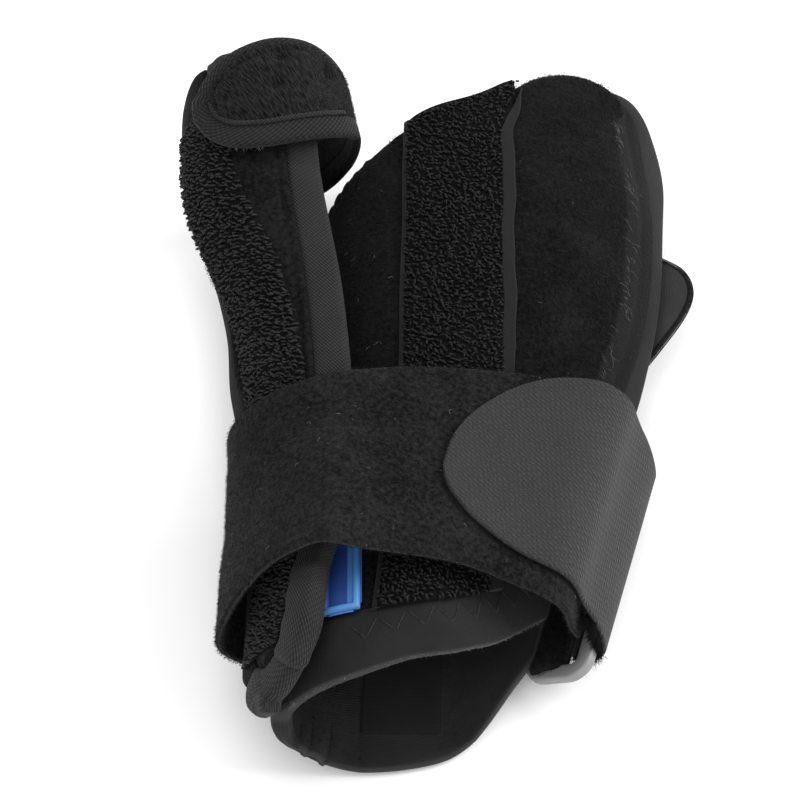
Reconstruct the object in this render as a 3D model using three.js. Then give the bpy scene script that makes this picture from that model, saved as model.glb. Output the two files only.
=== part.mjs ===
// Thumb spica splint: an empty wrist and thumb brace, fastened by its strap and lying on its back.
// Millimetres. +Z is up, +Y points to the fingers, -Y to the forearm, and the thumb side is at -X.
import * as THREE from "three";
import { mergeVertices } from "three/addons/utils/BufferGeometryUtils.js";

// Driving dimensions
const ORIGIN = { x: -0.8, y: -7.6, z: 0 }; // moves the finished splint so that its box stands on the origin
const GAP = 0.4; // clearance between neighbouring pieces
const PANEL_WALL = 3.0; // foam panels of the sleeve
const CUFF_LENGTH = 16;
const PANEL_BINDING = { width: 4.6, thick: 3.8 };
const PANEL_EDGE = { corner: 0.46, seam_gap: 0.06 }; // shares: binding to the corner, bare width at the seam
const TAPE_WALL = 2.0; // loop tape with its pile
const TAPE_WIDTH = 30;
const TAPE_OVER_CUFF = 1.5;
// Degrees round the sleeve that the tape's two cut ends span, from its left edge to its right
const TAPE_ENDS = { wrist: { left: 110, right: 55 }, hand: { left: 118, right: 76 } };
const POCKET = { left: -20, right: 1, start: -82, end: 40, wall: 1.2 };
const STAY_WALL = 4.4;
const STAY_BINDING = { width: 8.5, thick: 5.4 };
const STAY_END = { wrist: 16, thumb: 22, tip: 0.1 }; // length of the rounded ends, share of width at the tip
const STRAP_WALL = 1.8;
const STRAP_START_X = -14; // where the strap is sewn to the back
const STRAP_MIDDLE_Z = 24; // height that the strap is drawn round
const STRAP_SHOULDER = { radius: 14, inset: 2, z: 31 }; // the strap's stiff bend above the ring
const STRAP_STAND_OFF = { most: 3.2, from: 15, to: 60 }; // the strap opens from the stay towards the wrist
const STRAP_END = 0.99; // share of the way to the ring where the hook tab takes over
const STRAP_SMOOTH = 0.015; // share of its length over which the strap's direction is averaged
const TAPE_SOFT = 3; // how far beside a tape the strap still lies over its pile
const HOOK_WALL = 1.5;
const HOOK_TURN = 3.7; // radius of the turn round the ring's bar
const HOOK_START = 0.97; // share of the turn that the tab covers
const HOOK_RISE = 22; // length over which the hook tab comes down onto the strap
const THUMB_WALL = 2.0;
const THUMB_TIP = { length: 0.15, blunt: 0.98 }; // shares: strap length that the tab rounds over, blunt tip
const THUMB_BINDING = { width: 4.2, thick: 3.2 };
const RING = { bar: 4.4, thick: 3.2, gap: 11, corner: 3, hole_corner: 1, bevel: 0.6, play: 1 };
const SLOT_START = { x: 33.4, y: -67, z: 13 }; // the strap's turn round the ring, wrist end
const SLOT_END = { x: 49.5, y: -11, z: 13 };
const RING_TILT = 33; // degrees that the ring dips towards the back of the splint
const ANCHOR = { wall: 1.3, margin: 6, turn: 3.7, wrap: 0.95, length: 26, seat_z: 1.2, slope: 14 };
const FLAP_WALL = 1.6;
const FLAP_SEWN = { from: 14, to: 5 }; // the flap is sewn on between these distances from the back's edge
const LABEL = { left: -29, right: -20.5, start: -71, end: -46, wall: 1.6, rim: 1.6, rim_rise: 0.7 };
const REST_SHARE = 0.35; // share of the half width that lies flat under the sleeve
const BACK_BEND = { seam: 0.7, free: 1.6 }; // powers: how sharply the back turns up at its two sides
const LAP_DROP = 9.5; // how far the back panel's outer face lies under the front panel's free edge
const LAP_PINCH = 1.0; // 0 makes the free side round, 1 makes it run out at a slope

// Sleeve sections across the arm, from the wrist opening to the fingers
const SLEEVE = {
  columns: ["y", "left", "right", "seam_z", "lap_z", "crown_z", "base_z"],
  rows: [
    [-98, -40, 22, 21, 15, 45, -3.0],
    [-70, -41, 25, 21, 18, 46, 2.4],
    [-40, -39, 33, 21, 21, 46, 2.8],
    [-10, -37, 43.5, 21, 21, 45, 2.6],
    [12, -35, 51, 21, 21, 45, 1.8],
    [35, -33, 57, 21, 20, 45, 0.4],
    [65, -31, 60, 21, 19, 44, -0.5],
    [104, -29, 58, 20, 18, 41, -1.0],
  ],
};
// Ends of the sleeve round the arm: 0 degrees at the free right edge, 180 at the thumb-side seam
const FRONT_ENDS = {
  columns: ["angle", "wrist_y", "hand_y"],
  rows: [
    [0, -55, 84],
    [15, -57, 96.5],
    [32, -63, 101.5],
    [52, -73, 102.5],
    [70, -80, 99],
    [90, -84, 93],
    [110, -86, 88],
    [135, -86, 75],
    [160, -86, 62],
    [180, -85, 47],
  ],
};
const BACK_ENDS = {
  columns: ["angle", "wrist_y", "hand_y"],
  rows: [
    [0, -59, 62],
    [30, -70, 80],
    [60, -86, 86],
    [90, -91.5, 84],
    [135, -91, 70],
    [180, -85, 47],
  ],
};
// Middle line of the loop tape on the front
const TAPE_LINE = {
  columns: ["y", "x"],
  rows: [
    [-75, -2],
    [-20, 4],
    [30, 5.5],
    [90, 6.5],
  ],
};
// Stay sections: crest of its middle layer, lean towards the thumb side, bend radius, reach of each side
const STAY = {
  columns: ["y", "x", "z", "lean", "radius", "left", "right"],
  rows: [
    [-91, -43, 32, 55, 34, 11, 9],
    [-80, -40, 38, 54, 36, 16, 14],
    [-55, -37, 42, 48, 32, 22, 18],
    [-20, -38, 44, 40, 25, 20.5, 18],
    [20, -41, 47, 30, 20, 27, 17],
    [60, -51, 54, 20, 20, 34, 20],
    [97, -52, 59, 15, 20, 31, 19],
  ],
};
const STAY_TAPE = {
  columns: ["y", "left", "right"],
  rows: [
    [-78, -9, 5],
    [-40, -10.5, 7],
    [-10, -11, 7],
    [12, -14, 5],
    [40, -20, 2],
    [66, -23.5, -3],
    [80, -21, -5],
  ],
};
// Thumb strap round the thumb, seen along it: from inside the stay, under the thumb and back over the stay
const THUMB_LOOP = {
  columns: ["across", "up", "width"],
  rows: [
    [-15.5, -11, 18],
    [-10, -18.5, 19],
    [1, -21.5, 19],
    [12, -18.5, 19],
    [19.5, -10.5, 19],
    [22, 0, 20],
    [19.5, 10.5, 23],
    [12.5, 18.6, 28],
    [3, 22.8, 31.5],
    [-7.5, 22.6, 32],
    [-15.2, 18.9, 30],
  ],
};
const THUMB_CENTRE = { x: -45, y: 81.5, z: 42 };
const THUMB_SKEW = 14; // degrees that the strap climbs towards the fingers as it crosses the thumb
const THUMB_LIFT = 8; // degrees that the thumb points up from the table
// Edges of the wrist strap along its length, 0 where it is sewn on and 1 at the ring
const STRAP_EDGES = {
  columns: ["at", "low_y", "high_y"],
  rows: [
    [0, -62, -8],
    [0.3, -65, -11],
    [0.45, -61, -8],
    [0.58, -58, -3],
    [0.7, -59, -2],
    [0.85, -64, -4],
    [1, -66, -10],
  ],
};
// Edges of the hook tab by distance from the ring
const HOOK_EDGES = {
  columns: ["reach", "low_y", "high_y"],
  rows: [
    [-10, -66, -10],
    [0, -66, -10],
    [12, -66, -6],
    [25, -64, -4],
    [38, -61, -3],
    [50, -55, -5],
    [60, -47, -12],
    [66, -38, -21],
    [67.5, -34, -26],
  ],
};
// Outline of the grey flap behind the right edge
const FLAP = {
  columns: ["y", "tip_x"],
  rows: [
    [20, 50],
    [32, 60],
    [43, 69],
    [50, 71],
    [57, 69],
    [64, 62],
  ],
};

const { lerp, degToRad, clamp, smoothstep } = THREE.MathUtils;

// A table as a smooth function of its first column that gives the other columns by name
function reader({ columns, rows }) {
  const names = columns.slice(1);
  const keys = rows.map((row) => row[0]);
  const curve = new THREE.CubicInterpolant(keys, rows.flatMap((row) => row.slice(1)), names.length);
  return (key) => {
    const values = curve.evaluate(clamp(key, keys[0], keys.at(-1)));
    return Object.fromEntries(names.map((name, i) => [name, values[i]]));
  };
}

const sleeve = reader(SLEEVE);
const frontEnds = reader(FRONT_ENDS);
const backEnds = reader(BACK_ENDS);
const tapeLine = reader(TAPE_LINE);
const stay = reader(STAY);
const stayTape = reader(STAY_TAPE);
const strapEdges = reader(STRAP_EDGES);
const hookEdges = reader(HOOK_EDGES);
const flapTip = reader(FLAP);

// Moves every corner of a simple geometry to its place on the bent piece
function bend(geometry, place) {
  geometry.deleteAttribute("normal");
  geometry.deleteAttribute("uv");
  const solid = mergeVertices(geometry, 1e-5);
  const corners = solid.attributes.position;
  const corner = new THREE.Vector3();
  for (let i = 0; i < corners.count; i += 1) {
    place(corner.fromBufferAttribute(corners, i)).toArray(corners.array, 3 * i);
  }
  solid.computeVertexNormals();
  return solid;
}

// Outward normal of a surface that is given as a function of u and v
function normalOf(surface, u, v) {
  const step = 1e-3;
  const [u0, u1] = [Math.max(u - step, 0), Math.min(u + step, 1)];
  const [v0, v1] = [Math.max(v - step, 0), Math.min(v + step, 1)];
  const across = surface(u1, v).sub(surface(u0, v));
  const along = surface(u, v1).sub(surface(u, v0));
  return across.cross(along).normalize();
}

// A wall between two offsets from a surface
function wall(surface, { across, along, inner, outer }) {
  return bend(new THREE.BoxGeometry(1, 1, 1, across, along, 1), (corner) => {
    const [u, v] = [corner.x + 0.5, corner.y + 0.5];
    const top = typeof outer === "function" ? outer(u, v) : outer;
    const offset = lerp(inner, top, corner.z + 0.5);
    return surface(u, v).addScaledVector(normalOf(surface, u, v), offset);
  });
}

// Rounded section of a binding tape, from its inner edge outwards
function bindingSection(radius, turn, { width, thick }) {
  const flat = (value, power) => Math.sign(value) * Math.abs(value) ** power;
  const out = 1.5 * GAP + (width / 2) * (1 + radius * flat(Math.cos(turn), 0.45));
  return { out, rise: (thick / 2) * radius * flat(Math.sin(turn), 0.6) };
}

// A frame on the edge of a wall: place, direction away from the wall, and normal
function edgeFrame(surface, path, at, offset) {
  const step = 2e-3;
  const [u, v] = path(at);
  const normal = normalOf(surface, u, v);
  const ahead = surface(...path(at + step)).sub(surface(...path(at - step)));
  return {
    place: surface(u, v).addScaledVector(normal, offset),
    out: ahead.normalize().cross(normal).normalize(),
    normal,
  };
}

// A binding tape along an edge path, closed like a ring or open with two ends
function binding(surface, path, { size, offset, steps, closed, sides = 8 }) {
  const shape = closed
    ? new THREE.TorusGeometry(2, 1, sides, steps)
    : new THREE.CylinderGeometry(1, 1, 1, sides, steps);
  return bend(shape, (corner) => {
    let at;
    let radius = 1;
    let turn;
    if (closed) {
      at = (Math.atan2(corner.y, corner.x) / (2 * Math.PI) + 1) % 1;
      turn = Math.atan2(corner.z, Math.hypot(corner.x, corner.y) - 2);
    } else {
      at = corner.y + 0.5;
      radius = Math.hypot(corner.x, corner.z);
      turn = Math.atan2(corner.z, corner.x);
    }
    const frame = edgeFrame(surface, path, at, offset);
    const { out, rise } = bindingSection(radius, turn, size);
    return frame.place.addScaledVector(frame.out, out).addScaledVector(frame.normal, rise);
  });
}

// Sleeve
function frontPoint(angle, y) {
  const { left, right, seam_z, lap_z, crown_z } = sleeve(y);
  const toRight = (1 + Math.cos(angle)) / 2;
  const rise = crown_z - (seam_z + lap_z) / 2;
  const x = (left + right) / 2 + ((right - left) / 2) * Math.cos(angle);
  const z = lerp(seam_z, lap_z, toRight) + rise * Math.sin(angle) ** (1 + LAP_PINCH * toRight);
  return new THREE.Vector3(x, y, z);
}

function backPoint(angle, y) {
  const { left, right, seam_z, lap_z, base_z } = sleeve(y);
  const side = Math.cos(angle);
  const x = (left + right) / 2 + ((right - left) / 2) * side;
  const rest_z = Math.max(base_z, 0);
  const flat = Math.sin(Math.acos(REST_SHARE));
  const round = Math.min(Math.sin(angle) / flat, 1) ** BACK_BEND.seam;
  const past = Math.max((side - REST_SHARE) / (1 - REST_SHARE), 0);
  const z = side < 0
    ? lerp(seam_z, rest_z, round)
    : lerp(rest_z, lap_z - LAP_DROP, past ** BACK_BEND.free);
  return new THREE.Vector3(x, y, z);
}

const SEAM_ANGLE = Math.PI - 0.012; // the panels stop just short of the seam
const FREE_ANGLE = 0.02;
const BACK_FREE_ANGLE = 0.4; // the back panel ends under the front panel
const toDegrees = (angle) => (angle * 180) / Math.PI;

function frontPanel(u, v) {
  const angle = lerp(SEAM_ANGLE, FREE_ANGLE, u);
  const { wrist_y, hand_y } = frontEnds(toDegrees(angle));
  return frontPoint(angle, lerp(wrist_y + CUFF_LENGTH + GAP, hand_y, v));
}

function wristCuff(u, v) {
  const angle = lerp(SEAM_ANGLE, FREE_ANGLE, u);
  const { wrist_y } = frontEnds(toDegrees(angle));
  return frontPoint(angle, lerp(wrist_y, wrist_y + CUFF_LENGTH, v));
}

function backPanel(u, v) {
  const angle = lerp(BACK_FREE_ANGLE, SEAM_ANGLE, u);
  const { wrist_y, hand_y } = backEnds(toDegrees(angle));
  return backPoint(angle, lerp(wrist_y, hand_y, v));
}

// The front panel's free edge: up the right side, round the corner and along the finger end
function panelEdge(at) {
  const { corner, seam_gap } = PANEL_EDGE;
  if (at < corner) return [1, clamp(at / corner, 0, 1)];
  return [lerp(seam_gap, 1, clamp((1 - at) / (1 - corner), 0, 1)), 1];
}

// A place on the front face by x and y
function frontAt(x, y) {
  const { left, right } = sleeve(y);
  const side = clamp((2 * x - left - right) / (right - left), -1, 1);
  return frontPoint(Math.acos(side), y);
}

function loopTape(u, v) {
  const { wrist, hand } = TAPE_ENDS;
  const lower = frontEnds(lerp(wrist.left, wrist.right, u)).wrist_y + CUFF_LENGTH - TAPE_OVER_CUFF;
  const upper = frontEnds(lerp(hand.left, hand.right, u)).hand_y;
  const y = lerp(lower, upper, v);
  return frontAt(tapeLine(y).x + TAPE_WIDTH * (u - 0.5), y);
}

function labelFace(u, v) {
  return frontAt(lerp(LABEL.left, LABEL.right, u), lerp(LABEL.start, LABEL.end, v));
}

// A place on the back panel's outer face by x and y
function backAt(x, y) {
  const { left, right } = sleeve(y);
  const side = clamp((2 * x - left - right) / (right - left), -1, 1);
  return backPoint(Math.acos(side), y);
}

function pocketStrip(u, v) {
  return backAt(lerp(POCKET.right, POCKET.left, u), lerp(POCKET.start, POCKET.end, v));
}

// Grey flap under the back panel's right edge, which runs straight on past it
function closureFlap(u, v) {
  const y = lerp(FLAP.rows[0][0], FLAP.rows.at(-1)[0], v);
  const { right } = sleeve(y);
  const x = lerp(flapTip(y).tip_x, right - FLAP_SEWN.from, u);
  const last = right - FLAP_SEWN.to;
  const edge = backAt(Math.min(x, last), y);
  const slope = backAt(last, y).z - backAt(last - 1, y).z;
  return new THREE.Vector3(x, y, edge.z + Math.max(x - last, 0) * slope);
}

// Stay
function stayPoint(reach, y) {
  const { x, z, lean, radius, left, right } = stay(y);
  const tilt = degToRad(lean);
  const bent = clamp(reach, STAY_BINDING.width - left, right - STAY_BINDING.width);
  const turn = bent / radius;
  const across = radius * Math.sin(turn) + (reach - bent) * Math.cos(turn);
  const drop = radius * (1 - Math.cos(turn)) + (reach - bent) * Math.sin(turn);
  return new THREE.Vector3(
    x + across * Math.cos(tilt) + drop * Math.sin(tilt),
    y,
    z + across * Math.sin(tilt) - drop * Math.cos(tilt),
  );
}

const STAY_Y = [STAY.rows[0][0], STAY.rows.at(-1)[0]];

// Share of the full width that is left near the rounded ends
function stayTaper(y) {
  const wrist = clamp((y - STAY_Y[0]) / STAY_END.wrist, 0, 1);
  const thumb = clamp((STAY_Y[1] - STAY_BINDING.width - y) / STAY_END.thumb, 0, 1);
  const round = (share) => Math.sqrt(1 - (1 - share) ** 2);
  return Math.max(round(wrist) * round(thumb), STAY_END.tip);
}

function thumbStay(u, v) {
  const spread = (1 - Math.cos(Math.PI * v)) / 2;
  const y = lerp(STAY_Y[0] + STAY_BINDING.width, STAY_Y[1] - STAY_BINDING.width, lerp(v, spread, 0.7));
  const { left, right } = stay(y);
  const [from, to] = [STAY_BINDING.width - left, right - STAY_BINDING.width];
  const middle = (from + to) / 2;
  return stayPoint(lerp(middle, lerp(from, to, u), stayTaper(y)), y);
}

// Once round the stay's outline
function stayEdge(at) {
  const turn = ((at % 1) + 1) % 1;
  const end = 0.06;
  const side = 0.5 - end;
  if (turn < side) return [1, turn / side];
  if (turn < 0.5) return [1 - (turn - side) / end, 1];
  if (turn < 0.5 + side) return [0, 1 - (turn - 0.5) / side];
  return [(turn - 0.5 - side) / end, 0];
}

function stayLoopTape(u, v) {
  const y = lerp(STAY_TAPE.rows[0][0], STAY_TAPE.rows.at(-1)[0], v);
  const { left, right } = stayTape(y);
  return stayPoint(lerp(left, right, u), y);
}

// Thumb strap
const thumbPath = new THREE.SplineCurve(
  THUMB_LOOP.rows.map(([across, up]) => new THREE.Vector2(across, up)),
);
const thumbWidth = new THREE.CubicInterpolant(
  THUMB_LOOP.rows.map((row, i) => i / (THUMB_LOOP.rows.length - 1)),
  THUMB_LOOP.rows.map((row) => row[2]),
  1,
);
const thumbFrame = new THREE.Matrix4()
  .makeTranslation(THUMB_CENTRE.x, THUMB_CENTRE.y, THUMB_CENTRE.z)
  .multiply(new THREE.Matrix4().makeRotationZ(degToRad(THUMB_SKEW)))
  .multiply(new THREE.Matrix4().makeRotationX(degToRad(THUMB_LIFT)));

function thumbStrap(u, v) {
  const place = thumbPath.getPoint(u);
  const { length, blunt } = THUMB_TIP;
  const round = Math.sqrt(1 - clamp((u - 1 + length) / length, 0, blunt) ** 2);
  const width = (thumbWidth.evaluate(u)[0] - 2 * THUMB_BINDING.width) * round;
  return new THREE.Vector3(place.x, width * (0.5 - v), place.y).applyMatrix4(thumbFrame);
}

// Along one edge of the thumb strap, round the tab and back along the other edge
function thumbEdge(at) {
  const tip = 0.03;
  const side = 0.5 - tip;
  if (at < side) return [clamp(at / side, 0, 1), 0];
  if (at < 0.5 + tip) return [1, (at - side) / (2 * tip)];
  return [clamp((1 - at) / side, 0, 1), 1];
}

// Wrist strap: a strap pulled tight follows the convex hull of what it goes round
function hull(points) {
  const sorted = [...points].sort((a, b) => a.x - b.x || a.y - b.y);
  const chain = (list) => {
    const kept = [];
    for (const point of list) {
      while (kept.length > 1) {
        const [a, b] = kept.slice(-2);
        if ((b.x - a.x) * (point.y - a.y) - (b.y - a.y) * (point.x - a.x) > 0) break;
        kept.pop();
      }
      kept.push(point);
    }
    return kept;
  };
  return { lower: chain(sorted), upper: chain(sorted.reverse()) };
}

function slotAt(y) {
  const share = (y - SLOT_START.y) / (SLOT_END.y - SLOT_START.y);
  return new THREE.Vector2(lerp(SLOT_START.x, SLOT_END.x, share), lerp(SLOT_START.z, SLOT_END.z, share));
}

// The strap's middle layer across the arm at y, from the seam on the back, over the stay, to the ring
function strapLine(y) {
  const { left, right, base_z } = sleeve(y);
  const middle = new THREE.Vector2((left + right) / 2, STRAP_MIDDLE_Z);
  const clear = GAP + STRAP_WALL / 2;
  const points = [];
  const push = (place, extra) => {
    const flat = new THREE.Vector2(place.x, place.z);
    points.push(flat.add(flat.clone().sub(middle).setLength(clear + extra)));
  };
  for (let angle = 0.3; angle < Math.PI; angle += 0.1) {
    const place = frontPoint(angle, y);
    const onTape = Math.abs(place.x - tapeLine(y).x) < TAPE_WIDTH / 2 + TAPE_SOFT;
    push(place, onTape ? TAPE_WALL + 2 * GAP : GAP);
    if (angle > Math.PI / 2) push(backPoint(angle, y), 0);
  }
  const body = stay(y);
  const tape = stayTape(y);
  const standOff = STRAP_STAND_OFF.most * smoothstep(-y, STRAP_STAND_OFF.from, STRAP_STAND_OFF.to);
  for (let share = 0; share <= 1; share += 0.05) {
    const reach = lerp(-body.left, body.right, share);
    const besideTape = reach < tape.left - TAPE_SOFT;
    const over = besideTape ? STAY_BINDING.thick / 2 + 2 * GAP : STAY_WALL / 2 + TAPE_WALL + 4 * GAP;
    push(stayPoint(reach, y), over + standOff);
  }
  const start = new THREE.Vector2(STRAP_START_X, base_z - clear);
  const slot = slotAt(y);
  const { radius, inset, z: shoulder_z } = STRAP_SHOULDER;
  for (let share = 0; share <= 1; share += 0.125) {
    const turn = (share * Math.PI) / 2;
    const x = slot.x - inset - radius * (1 - Math.cos(turn));
    points.push(new THREE.Vector2(x, shoulder_z + radius * Math.sin(turn)));
  }
  const { lower, upper } = hull([...points.filter((point) => point.y > start.y), start, slot]);
  const under = lower.slice(0, lower.indexOf(start) + 1).reverse();
  const over = upper.reverse().slice(1);
  const route = new THREE.Path(under.slice(0, 1));
  [...under.slice(1), ...over].forEach((point) => route.lineTo(point.x, point.y));
  return route;
}

const strapLines = new Map();

function strapPlace(share, y) {
  const key = Math.round(y * 50);
  if (!strapLines.has(key)) strapLines.set(key, strapLine(key / 50));
  return strapLines.get(key).getPoint(clamp(share, 0, 1));
}

// Place, direction towards the ring and outward direction on the strap, at a distance back from the ring
function strapFrame(reach, y) {
  strapPlace(0, y);
  const length = strapLines.get(Math.round(y * 50)).getLength();
  const share = 1 - reach / length;
  const ahead = strapPlace(share + STRAP_SMOOTH, y).sub(strapPlace(share - STRAP_SMOOTH, y)).normalize();
  return { place: strapPlace(share, y), ahead, out: new THREE.Vector2(-ahead.y, ahead.x) };
}

function wristStrap(u, v) {
  const at = lerp(0, STRAP_END, u);
  const { low_y, high_y } = strapEdges(at);
  const y = lerp(low_y, high_y, v);
  const place = strapPlace(at, y);
  return new THREE.Vector3(place.x, y, place.y);
}

// Hook tab: inside the ring, round its bar and back over the strap
function hookTab(u, v) {
  const turn = Math.PI * HOOK_TURN;
  const reach = lerp(HOOK_EDGES.rows.at(-1)[0], -turn * HOOK_START, u);
  const { low_y, high_y } = hookEdges(reach);
  const y = lerp(low_y, high_y, v);
  const { place, ahead, out } = strapFrame(Math.max(reach, 0), y);
  const seated = (STRAP_WALL + HOOK_WALL) / 2 + GAP;
  const angle = Math.PI * (1 + Math.min(reach, 0) / turn);
  const lift = reach < 0
    ? HOOK_TURN * (1 - Math.cos(angle))
    : lerp(2 * HOOK_TURN, seated, smoothstep(reach, 0, HOOK_RISE));
  const past = reach < 0 ? HOOK_TURN * Math.sin(angle) : 0;
  place.addScaledVector(out, lift).addScaledVector(ahead, past);
  return new THREE.Vector3(place.x, y, place.y);
}

// Ring: its outer bar lies inside the hook tab's turn, and it dips under the sleeve's right side
const ringMiddleY = (SLOT_START.y + SLOT_END.y) / 2;
const ringFrame = (() => {
  const { place, out } = strapFrame(0, ringMiddleY);
  const bar = place.addScaledVector(out, HOOK_TURN);
  const long = new THREE.Vector3().subVectors(SLOT_END, SLOT_START).normalize();
  const flat = new THREE.Vector3(-long.y, long.x, 0).normalize();
  const short = flat.multiplyScalar(Math.cos(degToRad(RING_TILT)));
  short.z = -Math.sin(degToRad(RING_TILT));
  const face = new THREE.Vector3().crossVectors(short, long).normalize();
  short.crossVectors(long, face).normalize();
  const basis = new THREE.Matrix4().makeBasis(short, long, face);
  return basis.setPosition(bar.x, ringMiddleY, bar.y);
})();
const slotLength = new THREE.Vector3().subVectors(SLOT_END, SLOT_START).length() + 2 * RING.play;

function roundedRectangle(path, x0, y0, x1, y1, radius) {
  path.moveTo(x0 + radius, y0);
  path.lineTo(x1 - radius, y0).absarc(x1 - radius, y0 + radius, radius, -Math.PI / 2, 0);
  path.lineTo(x1, y1 - radius).absarc(x1 - radius, y1 - radius, radius, 0, Math.PI / 2);
  path.lineTo(x0 + radius, y1).absarc(x0 + radius, y1 - radius, radius, Math.PI / 2, Math.PI);
  path.lineTo(x0, y0 + radius).absarc(x0 + radius, y0 + radius, radius, Math.PI, 1.5 * Math.PI);
  return path;
}

function strapRing() {
  const half = slotLength / 2;
  const { bar, gap, thick, corner, hole_corner, bevel } = RING;
  const end = half + bar - bevel;
  const shape = roundedRectangle(
    new THREE.Shape(), -bar / 2 + bevel, -end, gap + 1.5 * bar - bevel, end, corner,
  );
  shape.holes.push(
    roundedRectangle(
      new THREE.Path(), bar / 2 - bevel, -half - bevel, gap + bar / 2 + bevel, half + bevel, hole_corner,
    ),
  );
  const geometry = new THREE.ExtrudeGeometry(shape, {
    depth: thick - 2 * bevel,
    bevelSize: bevel,
    bevelThickness: bevel,
    bevelSegments: 1,
    curveSegments: 3,
  });
  geometry.translate(0, 0, bevel - thick / 2);
  return bend(geometry, (corner) => corner.applyMatrix4(ringFrame).clone());
}

// Webbing sewn under the back panel that goes round the ring's inner bar
function ringAnchor(u, v) {
  const bar = new THREE.Vector3(RING.gap + RING.bar, 0, 0).applyMatrix4(ringFrame);
  const long = new THREE.Vector3().setFromMatrixColumn(ringFrame, 1);
  const toRight = new THREE.Vector3(long.y, -long.x, 0).normalize();
  const turn = ANCHOR.turn;
  const floor = bar.z - turn;
  const arc = turn * Math.PI * ANCHOR.wrap;
  const at = lerp(-ANCHOR.length, arc, u);
  const angle = Math.max(at, 0) / turn;
  const across = at < 0 ? at : turn * Math.sin(angle);
  const up = turn * (1 - Math.cos(angle));
  const along = lerp(ANCHOR.margin - slotLength / 2, slotLength / 2 - ANCHOR.margin, v);
  const place = bar.addScaledVector(toRight, across).addScaledVector(long, along);
  place.z = lerp(floor, ANCHOR.seat_z, smoothstep(-at, 0, ANCHOR.slope)) + up;
  return place;
}

// The label's rim stands up along its edges
function labelRise(u, v) {
  const width = LABEL.right - LABEL.left;
  const length = LABEL.end - LABEL.start;
  const fromEdge = Math.min(u * width, (1 - u) * width, v * length, (1 - v) * length);
  return GAP + LABEL.wall + (fromEdge < LABEL.rim ? LABEL.rim_rise : 0);
}

const onPanel = { inner: -PANEL_WALL, outer: 0 };
const centred = (size) => ({ inner: -size / 2, outer: size / 2 });
const PIECES = {
  front_panel: {
    shape: () => wall(frontPanel, { across: 24, along: 12, ...onPanel }),
    look: { color: 0x1c1c1c, roughness: 0.95 },
  },
  panel_binding: {
    shape: () => binding(frontPanel, panelEdge, {
      size: PANEL_BINDING, offset: -PANEL_WALL / 2, steps: 48, closed: false,
    }),
    look: { color: 0x2b2b2d, roughness: 0.7 },
  },
  wrist_cuff: {
    shape: () => wall(wristCuff, { across: 24, along: 3, ...onPanel }),
    look: { color: 0x2c2c2e, roughness: 0.75 },
  },
  back_panel: {
    shape: () => wall(backPanel, { across: 18, along: 12, ...onPanel }),
    look: { color: 0x242426, roughness: 0.85 },
  },
  pocket_strip: {
    shape: () => wall(pocketStrip, {
      across: 4, along: 12, inner: -PANEL_WALL - 2 * GAP - POCKET.wall, outer: -PANEL_WALL - 2 * GAP,
    }),
    look: { color: 0x161616, roughness: 0.9 },
  },
  loop_tape: {
    shape: () => wall(loopTape, { across: 6, along: 18, inner: GAP, outer: GAP + TAPE_WALL }),
    look: { color: 0x1a1a1a, roughness: 0.95 },
  },
  closure_flap: {
    shape: () => wall(closureFlap, { across: 6, along: 10, inner: GAP, outer: GAP + FLAP_WALL }),
    look: { color: 0x404042, roughness: 0.8 },
  },
  thumb_stay: {
    shape: () => wall(thumbStay, { across: 8, along: 30, ...centred(STAY_WALL) }),
    look: { color: 0x1c1c1c, roughness: 0.95 },
  },
  stay_loop_tape: {
    shape: () => wall(stayLoopTape, {
      across: 5, along: 18, inner: STAY_WALL / 2 + GAP, outer: STAY_WALL / 2 + GAP + TAPE_WALL,
    }),
    look: { color: 0x181818, roughness: 0.95 },
  },
  stay_binding: {
    shape: () => binding(thumbStay, stayEdge, { size: STAY_BINDING, offset: 0, steps: 68, closed: true }),
    look: { color: 0x383838, roughness: 0.85 },
  },
  thumb_strap: {
    shape: () => wall(thumbStrap, { across: 34, along: 4, ...centred(THUMB_WALL) }),
    look: { color: 0x1c1c1c, roughness: 0.95 },
  },
  thumb_strap_binding: {
    shape: () => binding(thumbStrap, thumbEdge, {
      size: THUMB_BINDING, offset: 0, steps: 52, closed: false,
    }),
    look: { color: 0x333333, roughness: 0.85 },
  },
  wrist_strap: {
    shape: () => wall(wristStrap, { across: 42, along: 7, ...centred(STRAP_WALL) }),
    look: { color: 0x2a2a2a, roughness: 0.95 },
  },
  hook_tab: {
    shape: () => wall(hookTab, { across: 26, along: 8, ...centred(HOOK_WALL) }),
    look: { color: 0x4c4c4c, roughness: 0.8 },
  },
  strap_ring: { shape: strapRing, look: { color: 0x5c5c5e, roughness: 0.45 } },
  ring_anchor: {
    shape: () => wall(ringAnchor, { across: 12, along: 1, ...centred(ANCHOR.wall) }),
    look: { color: 0x202020, roughness: 0.9 },
  },
  label: {
    shape: () => wall(labelFace, { across: 6, along: 12, inner: GAP, outer: labelRise }),
    look: { color: 0x17479e, roughness: 0.5 },
  },
};

const splint = new THREE.Group();
splint.position.set(ORIGIN.x, ORIGIN.y, ORIGIN.z);
for (const [name, { shape, look }] of Object.entries(PIECES)) {
  const mesh = new THREE.Mesh(shape(), new THREE.MeshStandardMaterial({ metalness: 0, ...look }));
  mesh.name = name;
  splint.add(mesh);
}

export default splint;
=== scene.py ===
"""Dresses a thumb spica splint in its cloths: velour, coarse loop tape, twill, hook tape and foam.

The forms repeat the part's own sections in millimetres, and every mesh is written in metres.
"""

from __future__ import annotations

import logging
from dataclasses import dataclass
from enum import Enum
from typing import Callable, Sequence

import bmesh
import bpy
import numpy as np
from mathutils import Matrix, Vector
from mathutils.kdtree import KDTree

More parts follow.
